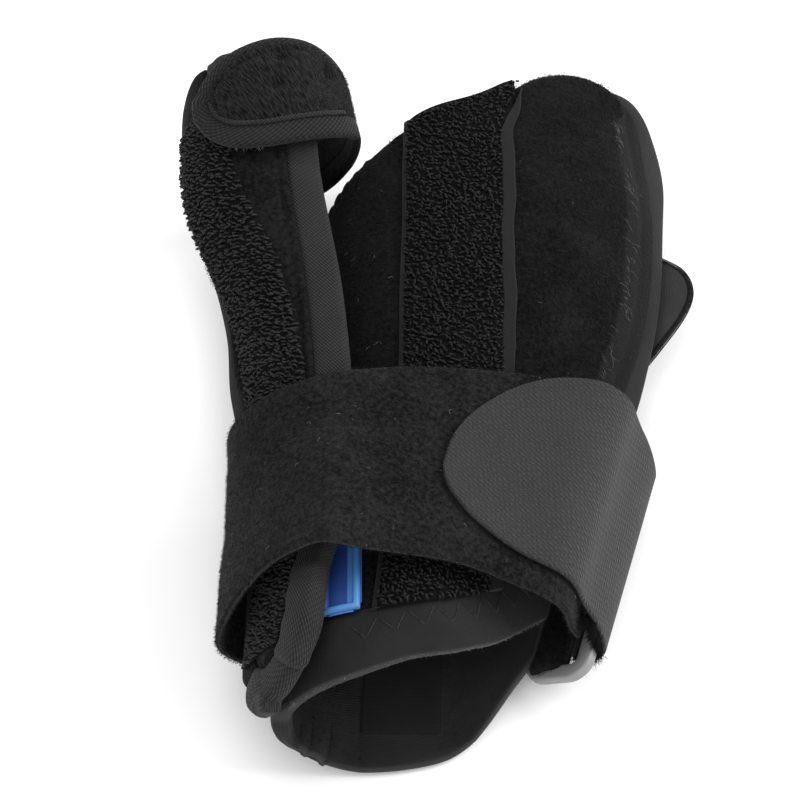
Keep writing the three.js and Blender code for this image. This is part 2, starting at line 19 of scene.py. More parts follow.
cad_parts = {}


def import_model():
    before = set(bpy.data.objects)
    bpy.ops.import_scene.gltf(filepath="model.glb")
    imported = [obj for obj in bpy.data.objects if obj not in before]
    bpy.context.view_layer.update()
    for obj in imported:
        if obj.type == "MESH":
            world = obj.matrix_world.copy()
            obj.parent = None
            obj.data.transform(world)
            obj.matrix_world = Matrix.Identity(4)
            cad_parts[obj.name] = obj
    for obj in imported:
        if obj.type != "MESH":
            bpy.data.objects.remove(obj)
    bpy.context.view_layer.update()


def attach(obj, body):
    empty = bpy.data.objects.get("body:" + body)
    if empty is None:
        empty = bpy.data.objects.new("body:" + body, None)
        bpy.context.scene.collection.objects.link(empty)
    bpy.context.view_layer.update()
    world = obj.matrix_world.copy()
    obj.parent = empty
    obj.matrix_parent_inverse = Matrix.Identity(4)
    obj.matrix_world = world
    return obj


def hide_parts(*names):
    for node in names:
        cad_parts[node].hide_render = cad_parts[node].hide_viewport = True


log = logging.getLogger("splint")
Array = np.ndarray
Amount = float | Array  # one for all, or one for each
Span = tuple[float, float]
Colour = tuple[float, float, float]
Surface = Callable[[Array, Array], Array]  # points from u and v, each from 0 to 1
Chooser = Callable[[Array, Array, Array], Array]  # a value for each point, from points, u and v
Path = Callable[[Array], tuple[Array, Array]]  # u and v from the share of a path
Piece = bpy.types.Object
Material = bpy.types.Material
Socket = bpy.types.NodeSocket

METRE = 0.001
ORIGIN = np.array([-0.8, -7.6, 0.0])  # moves the splint's own sections to the shared frame
GAP = 0.4
MERGE = 1e-6  # metres within which two vertices are one
STEP = 2e-3  # half of the share that a slope is taken over
FLAT = "cloth"  # UV map with the place on the flat cloth, in metres
TRIM = "trim"  # vertex share of cut edge
BAND = "band"  # vertex share of smooth border


class Slot(Enum):
    """Material slots."""

    VELOUR = "velour"
    STRAP = "strap_velour"
    LOOP = "coarse_loop"
    BINDING = "smooth_binding"
    FOAM = "smooth_foam"
    LINING = "lining"
    KNIT = "grey_knit"
    TWILL = "twill_tape"
    HOOK = "hook_weave"
    RING = "ring_plastic"
    LABEL = "label_rubber"


class Held(Enum):
    """How a sheet of cloth is held."""

    STRETCHED = "stretched"
    FOLDED = "folded"
    LAID = "laid"


# Curves and surfaces


class Table:
    """Listed sections, read as smooth curves of their first column."""

    def __init__(self, columns: str, *rows: Sequence[float]) -> None:
        """Keeps the columns' names, the keys and the other values."""
        self.names = columns.split()[1:]
        self.keys, self.values = np.array(rows, float)[:, 0], np.array(rows, float)[:, 1:]

    def at(self, key: Amount) -> dict[str, Array]:
        """Reads every column at a key.

        Args:
            key: values of the first column.

        Returns:
            The other columns by name.
        """
        keys = self.keys
        t = np.clip(np.asarray(key, float), keys[0], keys[-1])
        i = np.clip(np.searchsorted(keys, t, side="right") - 1, 0, len(keys) - 2)
        before = np.where(i > 0, i - 1, i + 1)
        after = np.where(i < len(keys) - 2, i + 2, i)
        half = (keys[i + 1] - keys[i]) / 2
        p = (t - keys[i]) / (2 * half)
        back = half / (keys[i] - keys[before])
        ahead = half / (keys[after] - keys[i + 1])
        shares = (
            (before, -back * p**3 + 2 * back * p**2 - back * p),
            (i, (1 + back) * p**3 - (1.5 + 2 * back) * p**2 + (back - 0.5) * p + 1),
            (i + 1, -(1 + ahead) * p**3 + (1.5 + ahead) * p**2 + 0.5 * p),
            (after, ahead * p**3 - ahead * p**2),
        )
        mixed = sum(self.values[index] * share[..., None] for index, share in shares)
        return {name: mixed[..., n] for n, name in enumerate(self.names)}

    def between(self, key: Amount, share: Amount) -> Array:
        """A blend from the second column to the third at a key."""
        return mix(*list(self.at(key).values())[:2], share)

    @property
    def span(self) -> Span:
        """First and last key."""
        return self.keys[0], self.keys[-1]


class Trail:
    """A path over a wall, straight between corners."""

    def __init__(self, *corners: tuple[float, float, float]) -> None:
        """Keeps the corners, each a share of the path with its u and v."""
        self.share, self.u, self.v = np.array(corners, float).T

    def __call__(self, at: Array) -> tuple[Array, Array]:
        """Gives u and v at shares of the path."""
        return np.interp(at, self.share, self.u), np.interp(at, self.share, self.v)

    def part(self, first: float, last: float) -> Path:
        """A stretch of the path as a path of its own."""
        return lambda at: self(mix(first, last, at))


def mix(start: Amount, end: Amount, share: Amount) -> Array:
    """Straight blend from start to end."""
    return start + (end - start) * share


def smooth(value: Array, low: float, high: float) -> Array:
    """Soft step from 0 at low to 1 at high."""
    t = np.clip((value - low) / (high - low), 0, 1)
    return t * t * (3 - 2 * t)


def bell(value: Array, width: float) -> Array:
    """A smooth bump of height 1 about zero."""
    return np.exp(-((value / width) ** 2))


def rounded(share: Array) -> Array:
    """A quarter circle from 0 at share 0 to 1 at share 1 and past it."""
    return np.sqrt(1 - (1 - np.clip(share, 0, 1)) ** 2)


def beyond(y: Array, span: Span) -> Array:
    """Whether y lies outside a span."""
    return (y > span[1]) | (y < span[0])


def unit(vectors: Array) -> Array:
    """Vectors of length 1."""
    return vectors / np.maximum(np.linalg.norm(vectors, axis=-1, keepdims=True), 1e-12)


def upright(flat: Array, y: Array) -> Array:
    """Points from places across and up, and y."""
    return np.stack([flat[:, 0], y, flat[:, 1]], -1)


def run_along(line: Array) -> Array:
    """Distance along a line at each of its points."""
    return np.concatenate([[0.0], np.cumsum(np.linalg.norm(np.diff(line, axis=0), axis=1))])


def read_along(line: Array, run: Array, at: Array) -> Array:
    """A line's values at distances along it."""
    return np.stack([np.interp(at, run, column) for column in line.T], -1)


def softened(line: Array, spread: float, axis: int = 0) -> Array:
    """Values averaged along one axis, with both ends kept.

    Args:
        line: the values.
        spread: half width of the average, in steps.
        axis: the axis that they run along.

    Returns:
        The soft values.
    """
    reach = int(3 * spread)
    weights = bell(np.arange(-reach, reach + 1), spread)
    margin = [(reach, reach) if n == axis else (0, 0) for n in range(line.ndim)]
    padded = np.pad(line, margin, mode="reflect", reflect_type="odd")
    windows = np.lib.stride_tricks.sliding_window_view(padded, len(weights), axis=axis)
    return windows @ (weights / weights.sum())


def slopes(surface: Surface, u: Array, v: Array) -> tuple[Array, Array]:
    """Derivatives of a surface.

    Args:
        surface: the surface.
        u: first share.
        v: second share.

    Returns:
        Millimetres per unit of u and of v.
    """
    u0, u1 = np.maximum(u - STEP, 0), np.minimum(u + STEP, 1)
    v0, v1 = np.maximum(v - STEP, 0), np.minimum(v + STEP, 1)
    along_u = (surface(u1, v) - surface(u0, v)) / (u1 - u0)[:, None]
    along_v = (surface(u, v1) - surface(u, v0)) / (v1 - v0)[:, None]
    return along_u, along_v


def stretches(surface: Surface, u: Array, v: Array) -> tuple[Array, Array]:
    """How many millimetres a surface spans per unit of u and of v."""
    along_u, along_v = slopes(surface, u, v)
    return np.linalg.norm(along_u, axis=1), np.linalg.norm(along_v, axis=1)


def normals(surface: Surface, u: Array, v: Array) -> Array:
    """Outward normals of a surface."""
    return unit(np.cross(*slopes(surface, u, v)))


def lifted(surface: Surface, lift: float | Chooser) -> Surface:
    """A surface moved along its normal.

    Args:
        surface: the surface to start from.
        lift: a distance, or a function of the surface's points, u and v.

    Returns:
        The moved surface.
    """

    def moved(u: Array, v: Array) -> Array:
        """Points of the moved surface.

        Args:
            u: share across.
            v: share along.

        Returns:
            The points.
        """
        points = surface(u, v)
        height = lift(points, u, v) if callable(lift) else np.full(len(points), lift)
        return points + normals(surface, u, v) * height[:, None]

    return moved


def rim_distance(surface: Surface, u: Array, v: Array) -> Array:
    """Distance in millimetres to the nearest edge of a surface."""
    wide, long = stretches(surface, u, v)
    return np.minimum(np.minimum(u, 1 - u) * wide, np.minimum(v, 1 - v) * long)


# Meshes


def dress(piece: Piece, slot: Slot, *nodes: str) -> Piece:
    """Ties a piece to the splint.

    Args:
        piece: the piece.
        slot: its material slot; not used.
        nodes: the nodes that it stands for.

    Returns:
        The piece.
    """
    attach(piece, "root")
    if nodes:
        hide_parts(*nodes)
    log.info("%s: %d faces", piece.name, len(piece.data.polygons))
    return piece


def cloth(piece: Piece, surface: Surface, held: Held, *rests_on: str) -> None:
    """Logs the flat size of a sheet's surface.

    Args:
        piece: the sheet.
        surface: its face.
        held: how it is held; not used.
        rests_on: what it lies on; not used.
    """
    u, v = (part.ravel() for part in np.meshgrid(*[np.linspace(0.01, 0.99, 40)] * 2))
    area = np.linalg.norm(np.cross(*slopes(surface, u, v)), axis=1).mean() * METRE**2
    flat = sorted(np.percentile(size, 90) * METRE for size in stretches(surface, u, v))
    log.info("%s: cut %.0f by %.0f mm", piece.name, flat[0] / METRE, flat[1] / METRE)


def add_object(name: str, mesh: bpy.types.Mesh, finishes: Sequence[Material]) -> Piece:
    """Puts a mesh in the scene, smooth all over.

    Args:
        name: the object's name.
        mesh: its mesh.
        finishes: its materials.

    Returns:
        The object.
    """
    for finish in finishes:
        mesh.materials.append(finish)
    mesh.shade_smooth()
    piece = bpy.data.objects.new(name, mesh)
    bpy.context.scene.collection.objects.link(piece)
    return piece


def from_bmesh(name: str, bm: bmesh.types.BMesh, finishes: Sequence[Material]) -> Piece:
    """Writes a bmesh into a new object and frees it.

    Args:
        name: the object's name.
        bm: the bmesh.
        finishes: the object's materials.

    Returns:
        The object.
    """
    mesh = bpy.data.meshes.new(name)
    bm.to_mesh(mesh)
    bm.free()
    return add_object(name, mesh, finishes)


def place_bmesh(bm: bmesh.types.BMesh, points: Array, chart: Array) -> None:
    """Gives every vertex its place, and every corner its place on the flat cloth.

    Args:
        bm: the bmesh.
        points: the splint's millimetres for each vertex.
        chart: the flat cloth's millimetres for each vertex.
    """
    layer = bm.loops.layers.uv.new(FLAT)
    bm.verts.index_update()
    for face in bm.faces:
        for loop in face.loops:
            loop[layer].uv = chart[loop.vert.index] * METRE
    for vertex, place in zip(bm.verts, (points + ORIGIN) * METRE):
        vertex.co = place


@dataclass(frozen=True)
class Net:
    """How finely a wall is meshed: cells across and along, and how much they crowd at the edges."""

    across: int
    along: int
    crowd: float = 0.55

    def crowded(self, share: Array) -> Array:
        """Moves evenly spaced lines towards both edges."""
        return mix(share, (1 - np.cos(np.pi * share)) / 2, self.crowd)


def wall(
    name: str,
    face: Surface,
    thick: float,
    net: Net,
    edge: float,
    finishes: Sequence[Material],
    chart: Surface | None = None,
    worn: float = 0.9,
) -> Piece:
    """A cloth wall with round edges, its outer face on a surface.

    Args:
        name: the object's name.
        face: the outer face.
        thick: wall thickness in millimetres.
        net: the mesh's fineness.
        edge: how far in from the edge the rounding starts, in millimetres.
        finishes: material of the outer face, then of the lining.
        chart: millimetres on the flat cloth from u and v, or none for even stretching.
        worn: how far in from the edge the cut shows, in millimetres.

    Returns:
        The wall.
    """
    bm = bmesh.new()
    bmesh.ops.create_grid(bm, x_segments=net.across, y_segments=net.along, size=0.5)
    bmesh.ops.translate(bm, verts=bm.verts, vec=(0.5, 0.5, 0.0))
    copied = bmesh.ops.duplicate(bm, geom=[*bm.verts, *bm.edges, *bm.faces])["geom"]
    lining = [part for part in copied if isinstance(part, bmesh.types.BMFace)]
    bmesh.ops.reverse_faces(bm, faces=lining)
    inner = [part for part in copied if isinstance(part, bmesh.types.BMVert)]
    bmesh.ops.translate(bm, verts=inner, vec=(0, 0, -1))
    for part in lining:
        part.material_index = min(1, len(finishes) - 1)
    flat = np.array([vertex.co for vertex in bm.verts])
    u, v = (np.clip(net.crowded(np.round(flat[:, n], 6)), 0, 1) for n in (0, 1))
    side = np.where(flat[:, 2] < -0.5, -1.0, 1.0)
    rim = rim_distance(face, u, v)
    depth = thick / 2 * (1 - side * rounded(rim / edge))
    along_u, along_v = slopes(face, u, v)
    points = face(u, v) - unit(np.cross(along_u, along_v)) * depth[:, None]
    if chart is None:
        wide, long = (np.linalg.norm(along, axis=1).mean() for along in (along_u, along_v))
        places = np.stack([u * wide, v * long], -1)
    else:
        places = chart(u, v)
    place_bmesh(bm, points, places)
    trim = bm.verts.layers.float.new(TRIM)
    for vertex, share in zip(bm.verts, 1 - smooth(rim, 0.1 * worn, worn)):
        vertex[trim] = share
    bmesh.ops.remove_doubles(bm, verts=bm.verts, dist=MERGE)
    return from_bmesh(name, bm, finishes)


@dataclass
class Edge:
    """Frames along the edge of a wall: places, ways out from the wall, and normals."""

    place: Array
    out: Array
    normal: Array

    @staticmethod
    def along(surface: Surface, path: Path, at: Array) -> Edge:
        """Frames at shares of a path.

        Args:
            surface: the wall's surface.
            path: gives u and v from the share of the path.
            at: shares of the path.

        Returns:
            The frames.
        """
        u, v = path(at)
        normal = normals(surface, u, v)
        ahead = surface(*path(at + STEP)) - surface(*path(at - STEP))
        return Edge(surface(u, v), unit(np.cross(unit(ahead), normal)), normal)


def oblong(turn: Array) -> tuple[Array, Array]:
    """Shares across and up on a soft oblong section."""
    across, up = np.cos(turn), np.sin(turn)
    return np.sign(across) * np.abs(across) ** 0.45, np.sign(up) * np.abs(up) ** 0.6


def tape(
    name: str,
    edge: Edge,
    width: Amount,
    thick: Amount,
    finish: Material,
    start: Amount = 0.0,
    rise: Amount = 0.0,
    closed: bool = False,
    sides: int = 16,
    blunt: float = 1.0,
) -> Piece:
    """A folded tape with a soft oblong section along an edge.

    Args:
        name: the object's name.
        edge: frames along the edge.
        width: millimetres from the tape's inner edge to its outer edge.
        thick: thickness in millimetres.
        finish: the material.
        start: where the tape's inner edge lies, outwards from the frames.
        rise: how far the tape's middle stands off the frames along their normals.
        closed: whether the last frame joins the first.
        sides: sides of the section.
        blunt: length of the rounded ends, in thicknesses.

    Returns:
        The tape.
    """
    count = len(edge.place)
    cells = count if closed else count - 1
    bm = bmesh.new()
    bmesh.ops.create_grid(bm, x_segments=cells, y_segments=sides, size=0.5)
    flat = np.array([vertex.co for vertex in bm.verts])
    station = np.rint((flat[:, 0] + 0.5) * cells).astype(int)
    index = station % count
    corner = np.rint((flat[:, 1] + 0.5) * sides).astype(int)
    every = np.ones(count)
    wide, deep, first, height = width * every, thick * every, start * every, rise * every
    run = run_along(edge.place)
    shut = every if closed else rounded(np.minimum(run, run[-1] - run) / (deep * blunt))
    boxy, round_up = oblong(2 * np.pi * (corner % sides) / sides)
    reach = first[index] + wide[index] / 2 * (1 + shut[index] * boxy)
    up = height[index] + deep[index] / 2 * shut[index] * round_up
    points = edge.place[index] + edge.out[index] * reach[:, None] + edge.normal[index] * up[:, None]
    lap = np.linalg.norm(edge.place[0] - edge.place[-1])
    length = np.append(run, run[-1] + lap)[station]
    across, over = oblong(2 * np.pi * np.arange(sides + 1) / sides)
    around = run_along(np.stack([across * wide.mean() / 2, over * deep.mean() / 2], -1))
    place_bmesh(bm, points, np.stack([length, around[corner]], -1))
    bmesh.ops.remove_doubles(bm, verts=bm.verts, dist=MERGE)
    bmesh.ops.dissolve_degenerate(bm, edges=bm.edges, dist=MERGE / 10)
    bmesh.ops.recalc_face_normals(bm, faces=bm.faces)
    return from_bmesh(name, bm, [finish])


def strands(
    name: str,
    paths: Array,
    radius: Amount,
    facing: Array,
    finish: Material,
    slot: Slot,
    sides: int = 4,
    pointed: bool = False,
) -> None:
    """Adds many small yarns, hairs or stitches as one joined mesh.

    Args:
        name: the object's name.
        paths: strands by points by three, in millimetres.
        radius: yarn radius in millimetres, for all or for each strand.
        facing: one direction for each strand that isn't along it.
        finish: the material.
        slot: the material slot.
        sides: sides of each yarn.
        pointed: whether a strand runs out to a point.
    """
    count, steps = paths.shape[:2]
    ahead = unit(np.gradient(paths, axis=1))
    across = unit(np.cross(ahead, facing[:, None, :]))
    up = np.cross(ahead, across)
    turn = 2 * np.pi * np.arange(sides) / sides
    spoke = across[:, :, None] * np.cos(turn)[:, None] + up[:, :, None] * np.sin(turn)[:, None]
    thick = np.broadcast_to(np.asarray(radius, float), (count,))[:, None, None, None]
    rings = steps - 1 if pointed else steps
    points = (paths[:, :, None] + spoke * thick)[:, :rings].reshape(count, rings * sides, 3)
    if pointed:
        points = np.concatenate([points, paths[:, -1:]], 1)
    corner = np.arange(sides)
    after = (corner + 1) % sides
    ring = (np.arange(rings - 1) * sides)[:, None]
    quads = np.stack([ring + corner, ring + after, ring + after + sides, ring + corner + sides], -1)
    shapes = [*quads.reshape(-1, 4), corner[::-1]]
    last = (rings - 1) * sides
    if pointed:
        shapes += [np.array([last + a, last + b, rings * sides]) for a, b in zip(corner, after)]
    else:
        shapes.append(last + corner)
    sizes = np.tile([len(shape) for shape in shapes], count)
    starts = np.arange(count) * points.shape[1]
    loops = (np.concatenate(shapes)[None] + starts[:, None]).ravel()
    mesh = bpy.data.meshes.new(name)
    mesh.vertices.add(points.size // 3)
    mesh.vertices.foreach_set("co", ((points.reshape(-1, 3) + ORIGIN) * METRE).ravel())
    mesh.loops.add(len(loops))
    mesh.loops.foreach_set("vertex_index", loops)
    mesh.polygons.add(len(sizes))
    mesh.polygons.foreach_set("loop_start", np.concatenate([[0], np.cumsum(sizes)[:-1]]))
    mesh.update(calc_edges=True)
    mesh.validate()
    dress(add_object(name, mesh, [finish]), slot)


def scattered(surface: Surface, seed: int, count: int, keep: Chooser | None = None) -> tuple[Array, ...]:
    """Draws random places on a surface, evenly by area.

    Args:
        surface: the surface.
        seed: which scatter is drawn.
        count: how many places are drawn before some are dropped.
        keep: which places stay.

    Returns:
        Points, normals, and unit directions along u and along v.
    """
    rng = np.random.default_rng(seed)
    u, v = rng.uniform(0, 1, (2, 3 * count))
    along_u, along_v = slopes(surface, u, v)
    area = np.linalg.norm(np.cross(along_u, along_v), axis=1)
    chosen = np.flatnonzero(rng.uniform(0, area.max(), len(u)) < area)[:count]
    points = surface(u[chosen], v[chosen])
    if keep is not None:
        stays = keep(points, u[chosen], v[chosen])
        chosen, points = chosen[stays], points[stays]
    normal = unit(np.cross(along_u[chosen], along_v[chosen]))
    return points, normal, unit(along_u[chosen]), unit(along_v[chosen])


@dataclass(frozen=True)
class Nap:
    """The brushed hairs of a pile: how many, how long, and which way they lie."""

    count: int
    length: float = 1.0
    radius: float = 0.065
    lean: Span = (0.3, -0.5)
    ruffle: float = 0.7
    uneven: Span = (0.6, 1.15)
    root: float = 0.15
    seed: int = 3

    def grow(
        self, name: str, surface: Surface, finish: Material, slot: Slot, keep: Chooser | None = None
    ) -> None:
        """Grows the hairs on a surface.

        Args:
            name: the object's name.
            surface: the face that carries the pile.
            finish: the hairs' material.
            slot: the material slot.
            keep: which places carry hairs.
        """
        points, normal, along_u, along_v = scattered(surface, self.seed, self.count, keep)
        rng = np.random.default_rng(self.seed + 1)
        over, along = rng.normal(0, self.ruffle, (2, len(points), 1))
        way = normal + along_u * (self.lean[0] + over) + along_v * (self.lean[1] + along)
        reach = self.length * rng.uniform(*self.uneven, len(points))
        paths = np.stack([points - normal * self.root, points + unit(way) * reach[:, None]], 1)
        strands(name, paths, self.radius, along_u + 0.3 * normal, finish, slot, sides=3, pointed=True)


@dataclass(frozen=True)
class Fray:
    """Loose fibres along a cut edge: how many, how long, and how far they splay."""

    count: int
    length: Span
    outwards: Span = (0.1, 1.0)
    rise: Span = (0.2, 0.6)
    sway: float = 0.8
    bend: float = 0.3
    depth: Span = (0.3, 2.0)
    inset: float = 0.25
    radius: float = 0.05
    seed: int = 29

    def grow(self, name: str, surface: Surface, path: Path, finish: Material, slot: Slot) -> None:
        """Grows the fibres along an edge of a surface.

        Args:
            name: the object's name.
            surface: the surface with the edge.
            path: gives u and v from the share of the edge, with the cloth on the left hand.
            finish: the fibres' material.
            slot: the material slot.
        """
        rng = np.random.default_rng(self.seed)
        column = (self.count, 1)
        edge = Edge.along(surface, path, rng.uniform(0.01, 0.99, self.count))
        way = edge.out * rng.uniform(*self.outwards, column) + edge.normal * rng.normal(*self.rise, column)
        way = unit(way + np.cross(edge.normal, edge.out) * rng.normal(0, self.sway, column))
        start = edge.place - edge.normal * rng.uniform(*self.depth, column) - edge.out * self.inset
        share = np.linspace(0, 1, 3)[:, None]
        bent = rng.normal(0, self.bend, (self.count, 1, 1)) * share**2
        reach = rng.uniform(*self.length, (self.count, 1, 1))
        paths = start[:, None] + (way[:, None] * share + np.cross(way, edge.normal)[:, None] * bent) * reach
        strands(name, paths, self.radius, edge.normal, finish, slot, sides=3, pointed=True)


@dataclass(frozen=True)
class LoopPile:
    """Coarse uncut loops in rows: their pitch, size, yarn and how far they stray."""

    pitch_across: float
    pitch_along: float
    turn: float
    stray: float
    height: float = 1.15
    spread: float = 0.62
    yarn: float = 0.3
    jitter: float = 0.3
    lean: float = 0.35
    seed: int = 11

    def weave(self, name: str, surface: Surface, size: Span, finish: Material, hidden: Span) -> None:
        """Sets loops all over a surface.

        Args:
            name: the object's name.
            surface: the ground that the loops stand on.
            size: its width and length in millimetres.
            finish: the yarn's material.
            hidden: the stretch of y that carries none, because the strap hides it.
        """
        rng = np.random.default_rng(self.seed)
        columns, rows = int(size[0] / self.pitch_across), int(size[1] / self.pitch_along)
        column, row = (part.ravel() for part in np.meshgrid(np.arange(columns), np.arange(rows)))
        shift = rng.normal(0, self.jitter, (2, len(row)))
        u = np.clip((column + 0.5 + 0.5 * (row % 2) - 0.25 + shift[0]) / columns, 0.01, 0.99)
        v = np.clip((row + 0.5 + shift[1]) / rows, 0.004, 0.996)
        stays = beyond(surface(u, v)[:, 1], hidden)
        u, v = u[stays], v[stays]
        points = surface(u, v)
        along_u, along_v = (unit(along) for along in slopes(surface, u, v))
        normal = unit(np.cross(along_u, along_v))
        turn = self.turn + rng.normal(0, self.stray, len(u))
        side = along_u * np.cos(turn)[:, None] + along_v * np.sin(turn)[:, None]
        over, along = rng.normal(0, self.lean, (2, len(u), 1))
        up = unit(normal + along_u * over + along_v * (along - self.lean))
        tall = self.height * rng.uniform(0.55, 1.1, (len(u), 1))
        wide = self.spread * rng.uniform(0.7, 1.25, (len(u), 1))
        arc = np.linspace(-0.15, np.pi + 0.15, 7)[:, None]
        over = (up * tall)[:, None] * (np.sin(arc) - 0.1)
        paths = points[:, None] - (side * wide)[:, None] * np.cos(arc) + over
        radius = self.yarn * rng.uniform(0.8, 1.15, len(u))
        strands(name, paths, radius, np.cross(side, up), finish, Slot.LOOP)


def zigzag(edge: Edge, width: float, pitch: float, lift: float, drop: float = 0.25) -> tuple[Array, Array]:
    """Legs of a zigzag seam along an edge.

    Args:
        edge: closely spaced frames along the seam's middle.
        width: how far the legs swing out to both sides together.
        pitch: length of one leg along the seam.
        lift: how far the thread stands over the frames.
        drop: how far a leg's ends sink into the cloth.

    Returns:
        The legs' points, and one normal for each leg.
    """
    run = run_along(edge.place)
    stations = np.arange(0, run[-1], pitch)[:-1]
    share = np.linspace(-1, 1, 5)
    at = stations[:, None] + pitch * (share + 1) / 2
    swing = np.where(np.arange(len(stations)) % 2 == 0, 1.0, -1.0)[:, None]
    reach = width / 2 * swing * share
    rise = lift - drop * share**4
    place, out, normal = (read_along(part, run, at) for part in (edge.place, edge.out, edge.normal))
    return place + out * reach[..., None] + normal * rise[:, None], unit(normal[:, 2] + 0.01)


# Finishes


class Recipe:
    """A material's nodes, added step by step to one shader."""

    def __init__(self, name: str, roughness: float, specular: float) -> None:
        """Starts a material.

        Args:
            name: its name.
            roughness: its roughness all over.
            specular: strength of its plain reflection.
        """
        self.material = bpy.data.materials.new(name)
        self.material.use_nodes = True
        self.nodes = self.material.node_tree.nodes
        self.shader = next(node for node in self.nodes if node.type == "BSDF_PRINCIPLED")
        self.set("Roughness", roughness)
        self.set("Specular IOR Level", specular)

    def feed(self, socket: Socket, value: object) -> None:
        """Links a socket or sets its value.

        Args:
            socket: an input.
            value: an output to link, or a plain value.
        """
        if isinstance(value, Socket):
            self.material.node_tree.links.new(value, socket)
        else:
            socket.default_value = value

    def set(self, socket: str, value: object) -> None:
        """Links or sets one of the shader's own sockets."""
        self.feed(self.shader.inputs[socket], value)

    def add(self, kind: str, inputs: dict[int | str, object], **settings: object) -> Sequence[Socket]:
        """Adds a node.

        Args:
            kind: the node's type after its common first part.
            inputs: a link or a value for each input that isn't left as it is.
            settings: the node's own settings.

        Returns:
            Its outputs.
        """
        node = self.nodes.new("ShaderNode" + kind)
        for key, value in settings.items():
            setattr(node, key, value)
        for key, value in inputs.items():
            self.feed(node.inputs[key], value)
        return node.outputs

    def sheen(self, weight: float, roughness: float, tint: float = 0.8) -> None:
        """Gives the cloth its sheen, tinted by a grey."""
        for part, value in (("Weight", weight), ("Roughness", roughness), ("Tint", (*grey(tint), 1.0))):
            self.set("Sheen " + part, value)

    def math(self, operation: str, first: Socket, second: Socket | float = 0.0) -> Socket:
        """One step of arithmetic."""
        return self.add("Math", {0: first, 1: second}, operation=operation)[0]

    def times(self, first: Socket, second: Socket | float) -> Socket:
        """A product."""
        return self.math("MULTIPLY", first, second)

    def plus(self, first: Socket, second: Socket | float) -> Socket:
        """A sum."""
        return self.math("ADD", first, second)

    def flat(self, turn: float, length: float, width: float) -> Sequence[Socket]:
        """Coordinates on the flat cloth.

        Args:
            turn: radians that the weave is turned by.
            length: millimetres of one repeat along.
            width: millimetres of one repeat across.

        Returns:
            The two coordinates in repeats.
        """
        chart = self.add("UVMap", {}, uv_map=FLAT)[0]
        turned = self.add("Mapping", {"Vector": chart, "Rotation": (0.0, 0.0, turn)})[0]
        repeats = (1 / (length * METRE), 1 / (width * METRE), 0.0)
        scaled = self.add("VectorMath", {0: turned, 1: repeats}, operation="MULTIPLY")[0]
        return self.add("SeparateXYZ", {0: scaled})[:2]

    def wave(self, value: Socket) -> Socket:
        """A sine from 0 to 1, one period for each repeat."""
        return self.times(self.plus(self.math("SINE", self.times(value, 2 * np.pi)), 1.0), 0.5)

    def noise(self, scale: float, detail: float = 2.0, rough: float = 0.6) -> Socket:
        """Cloudy variation, scale in repeats per metre."""
        inputs = {"Vector": self.add("TexCoord", {})["Object"], "Scale": scale}
        return self.add("TexNoise", {**inputs, "Detail": detail, "Roughness": rough})[0]

    def streaks(self, turn: float, length: float, width: float) -> Socket:
        """Variation drawn out in one direction of the flat cloth.

        Args:
            turn: radians from the cloth's length to the streaks.
            length: length of a streak in millimetres.
            width: its width in millimetres.

        Returns:
            The variation, about 0.5.
        """
        along, across = self.flat(-turn, length, width)
        inputs = {"Vector": self.add("CombineXYZ", {0: along, 1: across})[0], "Scale": 1.0, "Detail": 2.0}
        return self.add("TexNoise", inputs, noise_dimensions="2D")[0]

    def ramp(self, value: Socket, *stops: tuple[float, Colour]) -> Socket:
        """Colours along a value.

        Args:
            value: the value.
            stops: two places on it, each with its colour.

        Returns:
            The colour.
        """
        output = self.add("ValToRGB", {0: value})[0]
        for mark, (position, colour) in zip(output.node.color_ramp.elements, stops):
            mark.position = position
            mark.color = (*colour, 1.0)
        return output

    def greys(self, value: Socket, low: tuple[float, float], high: tuple[float, float]) -> Socket:
        """Greys along a value, each stop a place on it and a grey."""
        return self.ramp(value, (low[0], grey(low[1])), (high[0], grey(high[1])))

    def blend(self, share: Socket, first: Socket, second: Socket | Colour) -> Socket:
        """Mixes two colours."""
        end = second if isinstance(second, Socket) else (*second, 1.0)
        return self.add("Mix", {0: share, 6: first, 7: end}, data_type="RGBA")[2]

    def share(self, name: str) -> Socket:
        """A share from 0 to 1 that the mesh carries, such as its cut edge."""
        return self.add("Attribute", {}, attribute_name=name)["Fac"]

    def bump(self, height: Socket, distance: float, strength: float = 1.0) -> None:
        """Raises the surface, one bump on another.

        Args:
            height: the relief, from 0 to 1.
            distance: its depth in millimetres.
            strength: share of it that shows.
        """
        normal = self.shader.inputs["Normal"]
        inputs = {"Strength": strength, "Distance": distance * METRE, "Height": height}
        if normal.is_linked:
            inputs["Normal"] = normal.links[0].from_socket
        self.feed(normal, self.add("Bump", inputs)[0])


def grey(value: float) -> Colour:
    """A neutral grey, linear."""
    return value, value, value


